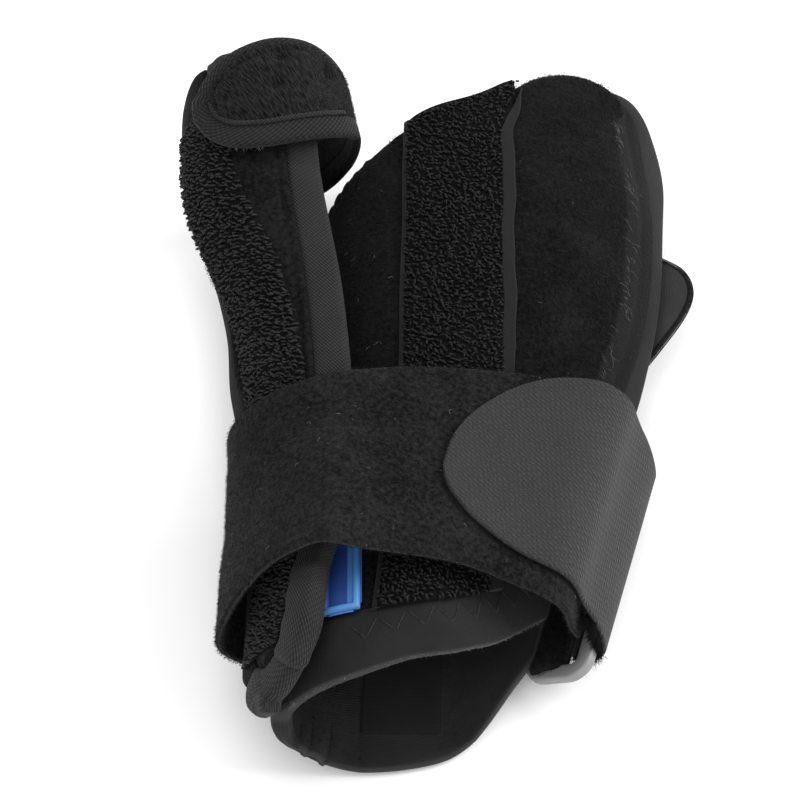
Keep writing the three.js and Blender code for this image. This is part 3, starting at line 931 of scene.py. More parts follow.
@dataclass(frozen=True)
class Velour:
    """Short brushed pile, with a paler cut edge and sometimes a smooth border."""

    name: str
    dark: float
    light: float
    edge: float
    sheen: float = 0.04
    grain: float = 800.0
    border: float = 0.0
    brush: float | None = None
    streak_length: float = 1.9
    streak_width: float = 0.34

    def make(self) -> Material:
        """Builds the material.

        Returns:
            The material.
        """
        recipe = Recipe(self.name, roughness=0.95, specular=0.06)
        recipe.sheen(self.sheen, 0.45)
        patches = recipe.noise(55.0)
        if self.brush is None:
            fine, even = recipe.noise(self.grain, 3.0, 0.65), 0.65
            recipe.bump(recipe.noise(self.grain * 1.6, 2.0, 0.7), 0.5)
            recipe.bump(patches, 1.2, 0.5)
        else:
            fine, even = recipe.streaks(self.brush, self.streak_length, self.streak_width), 0.9
            recipe.bump(fine, 0.35)
        tone = recipe.plus(recipe.times(fine, even), recipe.times(patches, 1 - even))
        pile = recipe.greys(tone, (0.38, self.dark), (0.62, self.light))
        if self.border:
            weave = recipe.greys(fine, (0.3, self.border * 0.85), (0.7, self.border * 1.15))
            pile = recipe.blend(recipe.share(BAND), pile, weave)
        recipe.set("Base Color", recipe.blend(recipe.share(TRIM), pile, grey(self.edge)))
        return recipe.material


@dataclass(frozen=True)
class Yarn:
    """Loose yarn, hair or thread."""

    name: str
    tone: float
    roughness: float = 0.7
    sheen: float = 0.03
    spread: float = 0.5
    shine: float = 0.15

    def make(self) -> Material:
        """Builds the material.

        Returns:
            The material.
        """
        recipe = Recipe(self.name, roughness=self.roughness, specular=self.shine)
        recipe.sheen(self.sheen, 0.4)
        low, high = self.tone * (1 - self.spread), self.tone * (1 + self.spread)
        recipe.set("Base Color", recipe.greys(recipe.noise(900.0, 1.0), (0.35, low), (0.65, high)))
        recipe.bump(recipe.noise(5000.0, 1.0), 0.06)
        return recipe.material


@dataclass(frozen=True)
class Jersey:
    """Smooth foam face or folded tape with a fine knit."""

    name: str
    tone: float
    pitch: float = 0.55
    relief: float = 0.08
    ribs: bool = False
    edge: float = 0.035
    contrast: float = 0.35

    def make(self) -> Material:
        """Builds the material.

        Returns:
            The material.
        """
        recipe = Recipe(self.name, roughness=0.8, specular=0.15)
        recipe.sheen(0.06, 0.5)
        across, along = recipe.flat(0.0, self.pitch, self.pitch)
        knit = recipe.wave(along)
        if not self.ribs:
            knit = recipe.times(knit, recipe.wave(across))
        patches = recipe.noise(70.0, 3.0)
        tone = recipe.greys(patches, (0.35, self.tone * 0.75), (0.65, self.tone * 1.25))
        worked = recipe.blend(recipe.times(knit, self.contrast), tone, grey(self.tone * 1.8))
        recipe.set("Base Color", recipe.blend(recipe.share(TRIM), worked, grey(self.edge)))
        recipe.bump(knit, self.relief)
        recipe.bump(patches, 0.5, 0.4)
        return recipe.material


@dataclass(frozen=True)
class Twill:
    """Tape with slanting ridges that the weft breaks up."""

    name: str
    tone: float = 0.0135
    pitch: float = 0.64
    weft_share: float = 0.62
    slant: float = 0.95
    relief: float = 0.2

    def make(self) -> Material:
        """Builds the material.

        Returns:
            The material.
        """
        recipe = Recipe(self.name, roughness=0.8, specular=0.15)
        recipe.sheen(0.06, 0.45)
        over, along = recipe.flat(self.slant, self.pitch, self.pitch / self.weft_share)
        weft = recipe.plus(recipe.times(recipe.wave(along), 0.6), 0.4)
        broken = recipe.times(recipe.wave(over), weft)
        patches = recipe.noise(90.0, 3.0)
        ground = recipe.greys(patches, (0.35, self.tone * 0.35), (0.65, self.tone * 0.7))
        recipe.set("Base Color", recipe.blend(broken, ground, grey(self.tone * 2.5)))
        recipe.bump(broken, self.relief)
        recipe.bump(patches, 0.5, 0.4)
        return recipe.material


@dataclass(frozen=True)
class HookWeave:
    """Woven back of a hook tape, with rows of small raised ticks."""

    name: str
    tone: float = 0.0125
    length: float = 2.1
    pitch: float = 0.9
    slant: float = -0.62

    def make(self) -> Material:
        """Builds the material.

        Returns:
            The material.
        """
        recipe = Recipe(self.name, roughness=0.65, specular=0.3)
        recipe.sheen(0.06, 0.4, tint=0.9)
        along, across = recipe.flat(self.slant, self.length, self.pitch)
        loose = recipe.times(recipe.noise(330.0), 1.5)
        bent = recipe.plus(across, recipe.times(recipe.noise(260.0), 0.9))
        skewed = recipe.plus(recipe.plus(along, loose), recipe.times(across, 0.41))
        ticks = recipe.math("POWER", recipe.times(recipe.wave(skewed), recipe.wave(bent)), 1.5)
        threads = recipe.times(recipe.noise(2600.0, 2.0, 0.7), 0.5)
        tone = recipe.plus(recipe.times(recipe.noise(60.0, 3.0), 0.5), threads)
        ground = recipe.greys(tone, (0.35, self.tone * 0.6), (0.65, self.tone * 1.2))
        woven = recipe.blend(ticks, ground, grey(self.tone * 2.3))
        recipe.set("Base Color", recipe.blend(recipe.share(TRIM), woven, grey(self.tone * 1.5)))
        recipe.bump(recipe.plus(ticks, threads), 0.4)
        return recipe.material


@dataclass(frozen=True)
class Moulded:
    """Moulded plastic or soft rubber with a faint grain and paler edges."""

    name: str
    tone: Colour
    # colour of the paler edges, where the mesh marks its rim
    worn: Colour
    roughness: float = 0.42

    def make(self) -> Material:
        """Builds the material.

        Returns:
            The material.
        """
        recipe = Recipe(self.name, roughness=self.roughness, specular=0.5)
        deep = tuple(0.85 * part for part in self.tone)
        body = recipe.ramp(recipe.noise(120.0, 4.0), (0.3, deep), (0.7, self.tone))
        recipe.set("Base Color", recipe.blend(recipe.share(TRIM), body, self.worn))
        recipe.bump(recipe.noise(2500.0), 0.03)
        return recipe.material


@dataclass(frozen=True)
class Pale:
    """The pale floor."""

    name: str = "pale_floor"
    tone: float = 0.92

    def make(self) -> Material:
        """Builds the material.

        Returns:
            The material.
        """
        recipe = Recipe(self.name, roughness=0.9, specular=0.1)
        recipe.set("Base Color", recipe.greys(recipe.noise(3.0), (0.3, self.tone), (0.7, self.tone * 1.01)))
        return recipe.material


class Finishes:
    """Every finish of the splint, made once."""

    def __init__(self) -> None:
        """Makes the materials."""
        self.velour = Velour("velour", 0.0008, 0.0084, edge=0.012, border=0.0096).make()
        self.stay = Velour("stay_velour", 0.0016, 0.0125, edge=0.012).make()
        self.strap = Velour("strap_velour", 0.002, 0.0185, edge=0.034, sheen=0.06).make()
        # The thumb strap's velour and hairs are kept lighter than the other velours: painted light, for the
        # tab that lies face up under the light from above.
        self.tab = Velour("tab_velour_painted_light", 0.003, 0.0205, edge=0.03, sheen=0.06, brush=2.1).make()
        self.pile = Yarn("velour_hairs", 0.0054, shine=0.08, spread=0.95).make()
        self.strap_pile = Yarn("strap_hairs", 0.0115, shine=0.1, spread=0.9).make()
        self.painted_light_tab_pile = Yarn("tab_hairs_painted_light", 0.015, shine=0.1, spread=0.9).make()
        self.fleck = Yarn("bright_fibres", 0.034, roughness=0.5, spread=0.6).make()
        self.loop = Yarn("loop_yarn", 0.0085, roughness=0.55).make()
        self.stay_loop = Yarn("stay_loop_yarn", 0.0155, roughness=0.55).make()
        self.loop_ground = Velour("loop_ground", 0.002, 0.006, edge=0.006, sheen=0.0).make()
        self.binding = Jersey("edge_tape", 0.008).make()
        self.foam = Jersey("smooth_foam", 0.008).make()
        self.lining = Jersey("lining", 0.0085, 0.9, relief=0.15, edge=0.02).make()
        self.inside = Jersey("inner_jersey", 0.0095, 0.62, relief=0.07, ribs=True, contrast=0.2).make()
        self.ribbed = Jersey("ribbed_lining", 0.0048, 0.42, relief=0.06, ribs=True, edge=0.004).make()
        self.selvedge = Jersey("selvedge", 0.0037, 0.5, relief=0.1, ribs=True, edge=0.01).make()
        self.knit = Jersey("grey_knit", 0.032, 0.6, edge=0.01).make()
        self.twill = Twill("twill_tape").make()
        self.tab_twill = Twill("tab_twill", tone=0.0098, pitch=0.88, relief=0.3).make()
        self.hook = HookWeave("hook_weave").make()
        self.stubble = Yarn("hook_stubble", 0.015, roughness=0.5).make()
        self.thread = Yarn("seam_thread", 0.022, roughness=0.6).make()
        self.dark_thread = Yarn("dark_thread", 0.011).make()
        self.hair = Yarn("stray_hair", 0.1, roughness=0.6).make()
        self.lint = Yarn("lint", 0.12, roughness=0.8).make()
        self.ring = Moulded("ring_plastic", grey(0.21), grey(0.3)).make()
        self.label = Moulded("label_blue", (0.018, 0.062, 0.27), (0.06, 0.2, 0.5), roughness=0.5).make()


# Sub-assemblies


@dataclass
class Sleeve:
    """The foam sleeve: front and back, cuff, edge tape, loop tape, pocket strip, label and grey flap."""

    finish: Finishes
    thick: float = 3.0
    cuff_length: float = 16.0
    cuff_lap: float = 1.0
    lap_drop: float = 9.5
    lap_pinch: float = 1.0
    rest_share: float = 0.35
    seam_bend: float = 0.7
    free_bend: float = 1.6
    seam_angle: float = np.pi - 0.012
    free_angle: float = 0.02
    back_free_angle: float = 0.24
    tape_width: float = 30.0
    tape_over_cuff: float = 1.5
    tape_wrist_angles: Span = (110.0, 55.0)
    tape_hand_angles: Span = (118.0, 76.0)
    selvedge_right: float = 3.5
    selvedge_left: float = 1.3
    edge_corner: float = 0.46
    edge_seam_gap: float = 0.06
    edge_tape_width: Span = (6.2, 3.3)
    edge_tape_thick: Span = (3.2, 2.4)
    edge_tape_start: Span = (-1.5, -3.6)
    back_lip_drop: float = 4.5
    lip_width: Span = (4.6, 8.2)
    lip_thick: Span = (2.2, 5.4)
    lip_start: Span = (-0.3, 0.2)
    seam_y: Span = (-82.0, 48.0)
    seam_width: float = 7.0
    seam_thick: float = 3.3
    band_side: float = 11.0
    band_top: float = -1.6
    band_gathers: float = 4.0
    puff: float = 0.8
    stitch_depth: float = 0.75
    stitch_spread: float = 2.2
    gather_span: Span = (0.08, 0.24)
    gathers: int = 5
    gather_height: float = 1.2
    pocket_x: Span = (1.0, -20.0)
    velvet_share: float = 0.4
    velvet_side: float = 15.0
    velvet_wrist_y: float = -68.0
    velvet_end_y: float = -30.0
    velvet_rim: float = 2.0
    fold_start: float = 0.715
    fold_slant: float = 0.5
    fold_depth: float = 0.9
    lump_depth: float = 0.12
    tape_length: float = 165.0
    tape_bend: float = 0.19
    pocket_y: Span = (-82.0, 40.0)
    label_x: Span = (-28.0, -18.9)
    label_y: Span = (-71.0, -46.0)
    flap_sewn: Span = (14.0, 5.0)
    flap_thick: float = 1.6
    under_strap: Span = (-48.0, -16.0)

    sections = Table(
        "y left right seam_z lap_z crown_z base_z",
        (-98, -40, 22, 21, 15, 45, -3.0),
        (-70, -41, 25, 21, 18, 46, 2.4),
        (-40, -39, 33, 21, 21, 46, 2.8),
        (-10, -37, 43.5, 21, 21, 45, 2.6),
        (12, -35, 51, 21, 21, 45, 1.8),
        (35, -33, 57, 21, 20, 45, 0.4),
        (65, -31, 60, 21, 19, 44, -0.5),
        (104, -29, 58, 20, 18, 41, -1.0),
    )
    front_ends = Table(
        "angle wrist_y hand_y reach",
        (0, -55, 84, 12.0),
        (15, -57, 96.5, 11.0),
        (32, -63, 101.5, 9.9),
        (52, -73, 102.5, 9.0),
        (70, -80, 99, 7.2),
        (90, -84, 93, 3.2),
        (110, -86, 88, 4.0),
        (135, -86, 75, 5.6),
        (160, -86, 62, 7.2),
        (180, -85, 47, 6.6),
    )
    back_ends = Table(
        "angle wrist_y hand_y",
        (0, -59, 62),
        (30, -70, 80),
        (60, -86, 86),
        (90, -91.5, 84),
        (135, -91, 70),
        (180, -85, 47),
    )
    lip_drop = Table(
        "angle drop",
        *((0, 3.0), (20, 3.0), (40, 3.4), (60, 1.6), (84, 0.3), (110, 1.6), (146, 4.4), (180, 3.6)),
    )
    tape_line = Table("y x", (-75, -2), (-20, 4), (30, 5.5), (90, 6.5))
    flap_tip = Table("y tip_x", (20, 50), (32, 60), (43, 67.8), (50, 69.8), (58, 67.8), (65.5, 61.2))

    def __post_init__(self) -> None:
        """Lays the free edge out: up the right side, round the corner and along the finger end."""
        self.free_edge = Trail((0, 1, 0), (self.edge_corner, 1, 1), (1, self.edge_seam_gap, 1))
        at = np.linspace(0, 1, 500)
        self.edge_widths = mix(self.band_side, self.band_top, smooth(at, 0.47, 0.6))
        self.edge_widths += (self.band_gathers - self.band_top) * smooth(at, 0.84, 0.9)
        self.edge_tree = KDTree(len(at))
        for index, place in enumerate(self.front(*self.free_edge(at))):
            self.edge_tree.insert(place, index)
        self.edge_tree.balance()

    def to_edge(self, points: Array) -> tuple[Array, Array]:
        """Distance to the free edge, and the smooth band's width there."""
        found = [self.edge_tree.find(point) for point in points]
        return np.array([hit[2] for hit in found]), self.edge_widths[[hit[1] for hit in found]]

    def front_point(self, angle: Array, y: Array) -> Array:
        """Finds points of the front's plain form.

        Args:
            angle: angle round the arm, from the free edge.
            y: place along the arm.

        Returns:
            The points.
        """
        row = self.sections.at(y)
        to_right = (1 + np.cos(angle)) / 2
        rise = row["crown_z"] - (row["seam_z"] + row["lap_z"]) / 2
        x = mix(row["left"], row["right"], to_right)
        lift = rise * np.maximum(np.sin(angle), 0) ** (1 + self.lap_pinch * to_right)
        return np.stack([x, y, mix(row["seam_z"], row["lap_z"], to_right) + lift], -1)

    def back_point(self, angle: Array, y: Array) -> Array:
        """Finds points of the back's outer face.

        Args:
            angle: angle round the arm, from the free edge.
            y: place along the arm.

        Returns:
            The points.
        """
        row = self.sections.at(y)
        side = np.cos(angle)
        rest = np.maximum(row["base_z"], 0)
        level = np.sin(np.arccos(self.rest_share))
        turned = np.minimum(np.maximum(np.sin(angle), 0) / level, 1) ** self.seam_bend
        past = np.maximum((side - self.rest_share) / (1 - self.rest_share), 0) ** self.free_bend
        to_seam, to_lap = mix(row["seam_z"], rest, turned), mix(rest, row["lap_z"] - self.lap_drop, past)
        x = mix(row["left"], row["right"], (1 + side) / 2)
        return np.stack([x, y, np.where(side < 0, to_seam, to_lap)], -1)

    def angle_at(self, x: Array, y: Array) -> Array:
        """Angle round the arm at a place seen from above."""
        left, right = (self.sections.at(y)[side] for side in ("left", "right"))
        return np.arccos(np.clip((2 * x - left - right) / (right - left), -1, 1))

    def front_at(self, x: Array, y: Array) -> Array:
        """Points of the front's plain form seen from above."""
        return self.front_point(self.angle_at(x, y), y)

    def back_at(self, x: Array, y: Array) -> Array:
        """Points of the back's outer face seen from above."""
        return self.back_point(self.angle_at(x, y), y)

    def gather(self, u: Array) -> tuple[Array, Array]:
        """Scallops of the elastic edge near the thumb.

        Args:
            u: share from the seam to the free edge.

        Returns:
            The scallops' height, 0 to 1, and where they are.
        """
        first, last = self.gather_span
        swing = np.abs(np.sin(np.pi * self.gathers * (u - first) / (last - first))) ** 0.6
        return swing, smooth(u, first - 0.012, first) * (1 - smooth(u, last, last + 0.012))

    def front(self, u: Array, v: Array) -> Array:
        """The front panel's plain form.

        Args:
            u: share from the seam to the free edge.
            v: share from the cuff to the fingers.

        Returns:
            The points.
        """
        angle = mix(self.seam_angle, self.free_angle, u)
        ends = self.front_ends.at(np.degrees(angle))
        first = ends["wrist_y"] + self.cuff_length - self.cuff_lap
        swing, gathered = self.gather(u)
        reach = ends["reach"] + self.gather_height * gathered * (swing - 0.6)
        return self.front_point(angle, mix(first, ends["hand_y"] + reach, v))

    def relief(self, points: Array, u: Array, v: Array) -> Array:
        """How the foam swells between its seams.

        Args:
            points: points of the plain form.
            u: first share, not used.
            v: second share, not used.

        Returns:
            Millimetres off the plain form.
        """
        x, y = points[:, 0], points[:, 1]
        line = self.tape_line.at(y)["x"]
        sewn = sum(bell(x - line - side * self.tape_width / 2, self.stitch_spread) for side in (-1, 1))
        lumps = 0.2 * (np.sin(0.21 * x + 0.13 * y) + np.sin(0.17 * y - 0.11 * x + 1.3))
        far, band = self.to_edge(points)
        step = 0.55 * (1 - smooth(far - band, -0.8, 1.2)) + 0.3 * bell(far - 0.45 * band, 1.5) * (band > 6)
        return self.puff - self.stitch_depth * sewn + lumps - step

    def front_relief(self, points: Array, u: Array, v: Array) -> Array:
        """Swell of the front's foam, with creases between the scallops.

        Args:
            points: points of the plain form.
            u: share from the seam to the free edge.
            v: share from the cuff to the fingers.

        Returns:
            Millimetres off the plain form.
        """
        swing, gathered = self.gather(u)
        puffed = 0.5 * smooth(v, 0.95, 1.0) * (swing - 0.4)
        creased = 0.9 * smooth(v, 0.9, 0.985) * (1 - swing) ** 2
        return self.relief(points, u, v) + gathered * (puffed - creased)

    def cuff(self, u: Array, v: Array) -> Array:
        """The smooth hem at the wrist end of the front.

        Args:
            u: share from the seam to the free edge.
            v: share from the lip to the velour.

        Returns:
            The points.
        """
        angle = mix(self.seam_angle, self.free_angle, u)
        start = self.front_ends.at(np.degrees(angle))["wrist_y"]
        drop = self.lip_drop.at(np.degrees(angle))["drop"]
        points = self.front_point(angle, mix(start - drop, start + self.cuff_length, v))
        points[:, 2] += 0.5 * np.sin(9 * u + 2 * v) * (1 - v) * np.sin(np.pi * u)
        return points

    def back(self, u: Array, v: Array) -> Array:
        """The back panel's outer face.

        Args:
            u: share from its free edge to the seam.
            v: share from the wrist to the hand.

        Returns:
            The points.
        """
        angle = mix(self.back_free_angle, self.seam_angle, u)
        ends = self.back_ends.at(np.degrees(angle))
        drop = self.back_lip_drop * smooth(np.degrees(angle), 140, 180)
        return self.back_point(angle, mix(ends["wrist_y"] - drop, ends["hand_y"], v))

    def loop_tape(self, u: Array, v: Array) -> Array:
        """The loop tape's place on the front.

        Args:
            u: share across it.
            v: share from the wrist to the fingers.

        Returns:
            The points.
        """
        lower = self.front_ends.at(mix(*self.tape_wrist_angles, u))["wrist_y"]
        ends = self.front_ends.at(mix(*self.tape_hand_angles, u))
        y = mix(lower + self.cuff_length - self.tape_over_cuff, ends["hand_y"] + ends["reach"], v)
        return self.front_at(self.tape_line.at(y)["x"] + self.tape_width * (u - 0.5), y)

    def tape_ground(self, height: float) -> Surface:
        """The tape's face at a height over the foam."""
        return lifted(self.loop_tape, lambda points, u, v: self.relief(points, u, v) + height)

    def pocket(self, u: Array, v: Array) -> Array:
        """The strip inside the back."""
        return self.back_at(mix(*self.pocket_x, u), mix(*self.pocket_y, v))

    def label_face(self, u: Array, v: Array) -> Array:
        """The label's place on the front."""
        return self.front_at(mix(*self.label_x, u), mix(*self.label_y, v))

    def flap(self, u: Array, v: Array) -> Array:
        """The grey flap under the back's edge, which runs straight on past it.

        Args:
            u: share from its tip to where it is sewn.
            v: share along the arm.

        Returns:
            The points.
        """
        y = mix(*self.flap_tip.span, v)
        right = self.sections.at(y)["right"]
        x = mix(self.flap_tip.at(y)["tip_x"], right - self.flap_sewn[0], u)
        last = right - self.flap_sewn[1]
        z = self.back_at(np.minimum(x, last), y)[:, 2]
        slope = self.back_at(last, y)[:, 2] - self.back_at(last - 1, y)[:, 2]
        return np.stack([x, y, z + np.maximum(x - last, 0) * slope], -1)

    def build(self) -> None:
        """Builds every piece of the sleeve."""
        self.build_front()
        self.build_edge_tape()
        self.build_cuff()
        self.build_seam()
        self.build_lip_roll()
        self.build_back()
        self.build_loop_tape()
        self.build_flap()
        self.build_label()

    def build_front(self) -> None:
        """Velour front panel and its pile."""
        face = lifted(self.front, self.front_relief)
        look = self.finish
        panel = wall("front_velour", face, self.thick + 0.6, Net(220, 110), 3.2, (look.velour, look.foam))
        far, band = self.to_edge(np.array([vertex.co for vertex in panel.data.vertices]) / METRE - ORIGIN)
        share = panel.data.attributes.new(BAND, "FLOAT", "POINT")
        share.data.foreach_set("value", 1 - smooth(far - band, -0.6, 1.4))
        dress(panel, Slot.VELOUR, "front_panel")

        def bare(points: Array, u: Array, v: Array) -> Array:
            """Keeps the hairs off the tape, the smooth band and what the strap hides.

            Args:
                points: the hairs' roots.
                u: share across.
                v: share along.

            Returns:
                True for each hair that stays.
            """
            beside = np.abs(points[:, 0] - self.tape_line.at(points[:, 1])["x"]) > self.tape_width / 2
            far, band = self.to_edge(points)
            return beside & beyond(points[:, 1], self.under_strap) & (far > band - 0.4)

        nap = Nap(count=43500, length=0.95, lean=(0.35, -0.4), seed=21)
        nap.grow("front_pile", face, look.pile, Slot.VELOUR, bare)
        flecks = Nap(count=2600, length=1.3, radius=0.05, lean=(0.5, -0.8), ruffle=1.1, seed=27)
        flecks.grow("front_flecks", face, look.fleck, Slot.VELOUR, bare)
        rim = Fray(
            1700, (0.3, 0.8), outwards=(0.3, 1.0), rise=(0.3, 0.4), depth=(1.1, 2.2), inset=0.3, seed=28
        )
        rim.grow("finger_fuzz", face, self.free_edge.part(0.53, 0.76), look.pile, Slot.VELOUR)
        self.build_band_hairs(face)

    def build_band_hairs(self, face: Surface) -> None:
        """Long hairs that the velour's border sends down over the smooth band.

        Args:
            face: the front's face.
        """

        def border(points: Array, u: Array, v: Array) -> Array:
            """A narrow strip along the band's inner edge."""
            far, band = self.to_edge(points)
            return (np.abs(far - band - 0.4) < 2.4) & (band > 4.0) & (points[:, 1] > self.under_strap[1])

        points, normal, along_u, along_v = scattered(face, 25, 2300, border)
        rng = np.random.default_rng(26)
        column = (len(points), 1, 1)
        reach = rng.uniform(1.8, 4.4, column)
        slant = rng.normal(-0.45, 0.35, column)
        bend = rng.normal(-0.3, 0.3, column)
        share = np.linspace(0, 1, 7)[:, None]
        way = unit(along_u[:, None] + along_v[:, None] * (slant + bend * share))
        bow = rng.uniform(0.2, 0.5, column)
        rise = bow * 3 * share * (1 - share) - (reach * share) ** 2 / 60 + 0.25
        paths = points[:, None] + way * reach * share + normal[:, None] * rise
        strands("band_hairs", paths, 0.055, along_v, self.finish.hair, Slot.VELOUR, sides=3, pointed=True)

    def build_edge_tape(self) -> None:
        """Rolled tape on the free edge, which goes under the velour along the finger end."""
        at = np.linspace(0.004, 0.996, 320)
        edge = Edge.along(lifted(self.front, -self.thick / 2), self.free_edge, at)
        out, normal = (unit(softened(part, 7.0)) for part in (edge.out, edge.normal))
        edge = Edge(softened(edge.place, 5.0), out, normal)
        hidden = smooth(at, 0.49, 0.59)
        y = edge.place[:, 1]
        fuller = (1.4 * bell(y - 8, 15) + 4.2 * bell(y - 91, 17)) * (1 - hidden)
        width = mix(*self.edge_tape_width, hidden) + fuller
        thick, start = mix(*self.edge_tape_thick, hidden), mix(*self.edge_tape_start, hidden)
        rolled = tape("edge_tape", edge, width, thick, self.finish.binding, start)
        dress(rolled, Slot.BINDING, "panel_binding")

    def build_cuff(self) -> None:
        """Smooth hem with its zigzag seam."""
        face = lifted(self.cuff, 0.15)
        look = self.finish
        hem = wall("cuff_hem", face, self.thick, Net(150, 24), 1.5, (look.foam, look.lining))
        dress(hem, Slot.FOAM, "wrist_cuff")
        from_label = Trail((0, 0.36, 0.64), (1, 0.93, 0.64))
        frames = Edge.along(face, from_label, np.linspace(0.01, 0.99, 160))
        legs, facing = zigzag(frames, width=5.0, pitch=3.7, lift=0.12)
        strands("cuff_zigzag", legs, 0.13, facing, look.thread, Slot.FOAM)
        fray = Fray(520, (0.4, 1.0))
        fray.grow("cuff_fray", face, Trail((0, 0.03, 0), (1, 0.95, 0)), look.hair, Slot.FOAM)

    def build_seam(self) -> None:
        """Rolled seam that joins the front and the back on the thumb side."""
        y = np.linspace(*self.seam_y, 160)
        row = self.sections.at(y)
        place = np.stack([row["left"] + self.thick / 2, y, row["seam_z"]], -1)
        down, left = (np.tile(way, (len(y), 1)) for way in ((0.0, 0.0, -1.0), (-1.0, 0.0, 0.0)))
        pucker = 0.12 * np.sin(0.8 * y)
        edge, start = Edge(place, down, left), -self.seam_width / 2
        wide, deep = self.seam_width + pucker, self.seam_thick + pucker
        dress(tape("side_seam", edge, wide, deep, self.finish.velour, start), Slot.FOAM)

    def build_lip_roll(self) -> None:
        """Thick soft fold of the wrist lip, from the cuff over the side seam to the back."""
        share = np.linspace(0, 1, 90)
        level = np.zeros_like(share)
        upper = lifted(self.cuff, -self.thick / 2)(0.26 * (1 - share), level)
        lower = lifted(self.back, -self.thick / 2)(1 - 0.4 * share, level)
        line = np.concatenate([upper, lower])
        at = np.linspace(0, 1, 150)
        run = run_along(line)
        place = softened(read_along(line, run, at * run[-1]), 7.0)
        row = self.sections.at(place[:, 1])
        across, up = (row["left"] + row["right"]) / 2, (row["crown_z"] + row["base_z"]) / 2
        ahead = unit(np.gradient(place, axis=0))
        away = place - np.stack([across, place[:, 1], up], -1)
        normal = unit(away - ahead * (away * ahead).sum(1, keepdims=True))
        out = np.cross(ahead, normal)
        out *= np.sign(-out[:, 1])[:, None]
        bulge = smooth(at, 0.03, 0.36) * (1 - smooth(at, 0.42, 0.68))
        width, thick = mix(*self.lip_width, bulge), mix(*self.lip_thick, bulge)
        start = mix(*self.lip_start, bulge) - width
        edge = Edge(place, out, normal)
        dress(tape("lip_roll", edge, width, thick, self.finish.foam, start, 0.2 * bulge), Slot.FOAM)

    def build_back(self) -> None:
        """Back panel with its lining, and the ribbed strip inside."""
        look = self.finish

        def creases(points: Array, u: Array, v: Array) -> Array:
            """Folds of the lining beside the seam at the wrist, and soft lumps.

            Args:
                points: places on the back.
                u: share across.
                v: share along.

            Returns:
                Height above the back.
            """
            near = 1 - smooth(v, 0.03, 0.08)
            line = u - self.fold_start + self.fold_slant * v
            fold = bell(line, 0.011) - 1.2 * bell(line - 0.036, 0.022)
            second = 0.7 * bell(line - 0.075, 0.011) - 0.8 * bell(line - 0.1, 0.018)
            lumps = self.lump_depth * np.sin(0.3 * points[:, 1]) * np.sin(np.pi * u)
            return self.fold_depth * near * (fold + second) + lumps * smooth(points[:, 2], 1.0, 4.0)

        face = lifted(self.back, creases)
        panel = wall("back_foam", face, self.thick, Net(150, 80), 1.5, (look.foam, look.inside))
        dress(panel, Slot.FOAM, "back_panel")
        inside = lifted(face, -self.thick)

        def turned(u: Array, v: Array) -> Array:
            """The lining by the wrist, facing inwards."""
            return inside(1 - u, self.velvet_share * v)

        def velvet(points: Array, u: Array, v: Array) -> Array:
            """The velvety parts of the lining on both sides of the strip.

            Args:
                points: the hairs' roots.
                u: share across.
                v: share along.

            Returns:
                True for each hair that stays.
            """
            x, y = points[:, 0], points[:, 1]
            beside = x > self.pocket_x[0] - 1 + np.sin(0.4 * y)
            right = beside & (x < self.velvet_side + 2 * np.sin(0.5 * y))
            left = (x < self.pocket_x[1] + 1) & (y < self.velvet_wrist_y + 2 * np.sin(0.4 * x))
            inner = rim_distance(self.back, 1 - u, self.velvet_share * v) > self.velvet_rim
            return (left | right) & (y < self.velvet_end_y) & inner

        nap = Nap(count=17000, length=1.1, radius=0.07, lean=(0.2, -0.3), ruffle=0.8, seed=23)
        nap.grow("lining_pile", turned, look.strap_pile, Slot.FOAM, velvet)
        strip = lifted(self.pocket, -self.thick + 0.3)
        webbing = wall("pocket_webbing", strip, 0.8, Net(24, 70), 3.0, (look.ribbed, look.ribbed))
        cloth(dress(webbing, Slot.LINING, "pocket_strip"), strip, Held.LAID, "back_foam")

    def build_loop_tape(self) -> None:
        """Loop tape on the front: ground, loops, and the smooth strips at its edges."""
        look = self.finish
        ground = wall("tape_ground", self.tape_ground(0.7), 0.8, Net(24, 90), 0.4, (look.loop_ground,) * 2)
        cloth(dress(ground, Slot.LOOP, "loop_tape"), self.loop_tape, Held.LAID, "front_velour")
        left, right = self.selvedge_left / self.tape_width, self.selvedge_right / self.tape_width

        def bend(v: Array) -> Array:
            """How far the smooth edge bends outwards at the finger end."""
            return self.tape_bend * smooth(v, 0.9, 1.02)

        def field(u: Array, v: Array) -> Array:
            """The part of the tape that carries loops."""
            return self.tape_ground(0.6)(mix(left, 1 - right + bend(v), u), mix(0.0, 0.992, v))

        def right_strip(u: Array, v: Array) -> Array:
            """The wide smooth edge, which bends outwards at the finger end.

            Args:
                u: share across.
                v: share along.

            Returns:
                The points.
            """
            bent = bend(v) + 0.008 * np.sin(26 * v) + 0.004 * np.sin(61 * v)
            narrow = 1 - 0.85 * smooth(v, 0.93, 1.0)
            return self.tape_ground(1.25)(1 - right + right * u * narrow + bent, mix(0.0, 0.965, v))

        def left_strip(u: Array, v: Array) -> Array:
            """The narrow smooth edge."""
            return self.tape_ground(1.0)(mix(0.0, left, u), v)

        size = (self.tape_width * (1 - left - right), self.tape_length)
        pile = LoopPile(pitch_across=1.3, pitch_along=1.1, turn=-0.75, stray=0.4)
        pile.weave("tape_loops", field, size, look.loop, self.under_strap)
        for name, strip in (("tape_edge_right", right_strip), ("tape_edge_left", left_strip)):
            dress(wall(name, strip, 1.0, Net(12, 160), 0.5, (look.selvedge,)), Slot.LOOP)

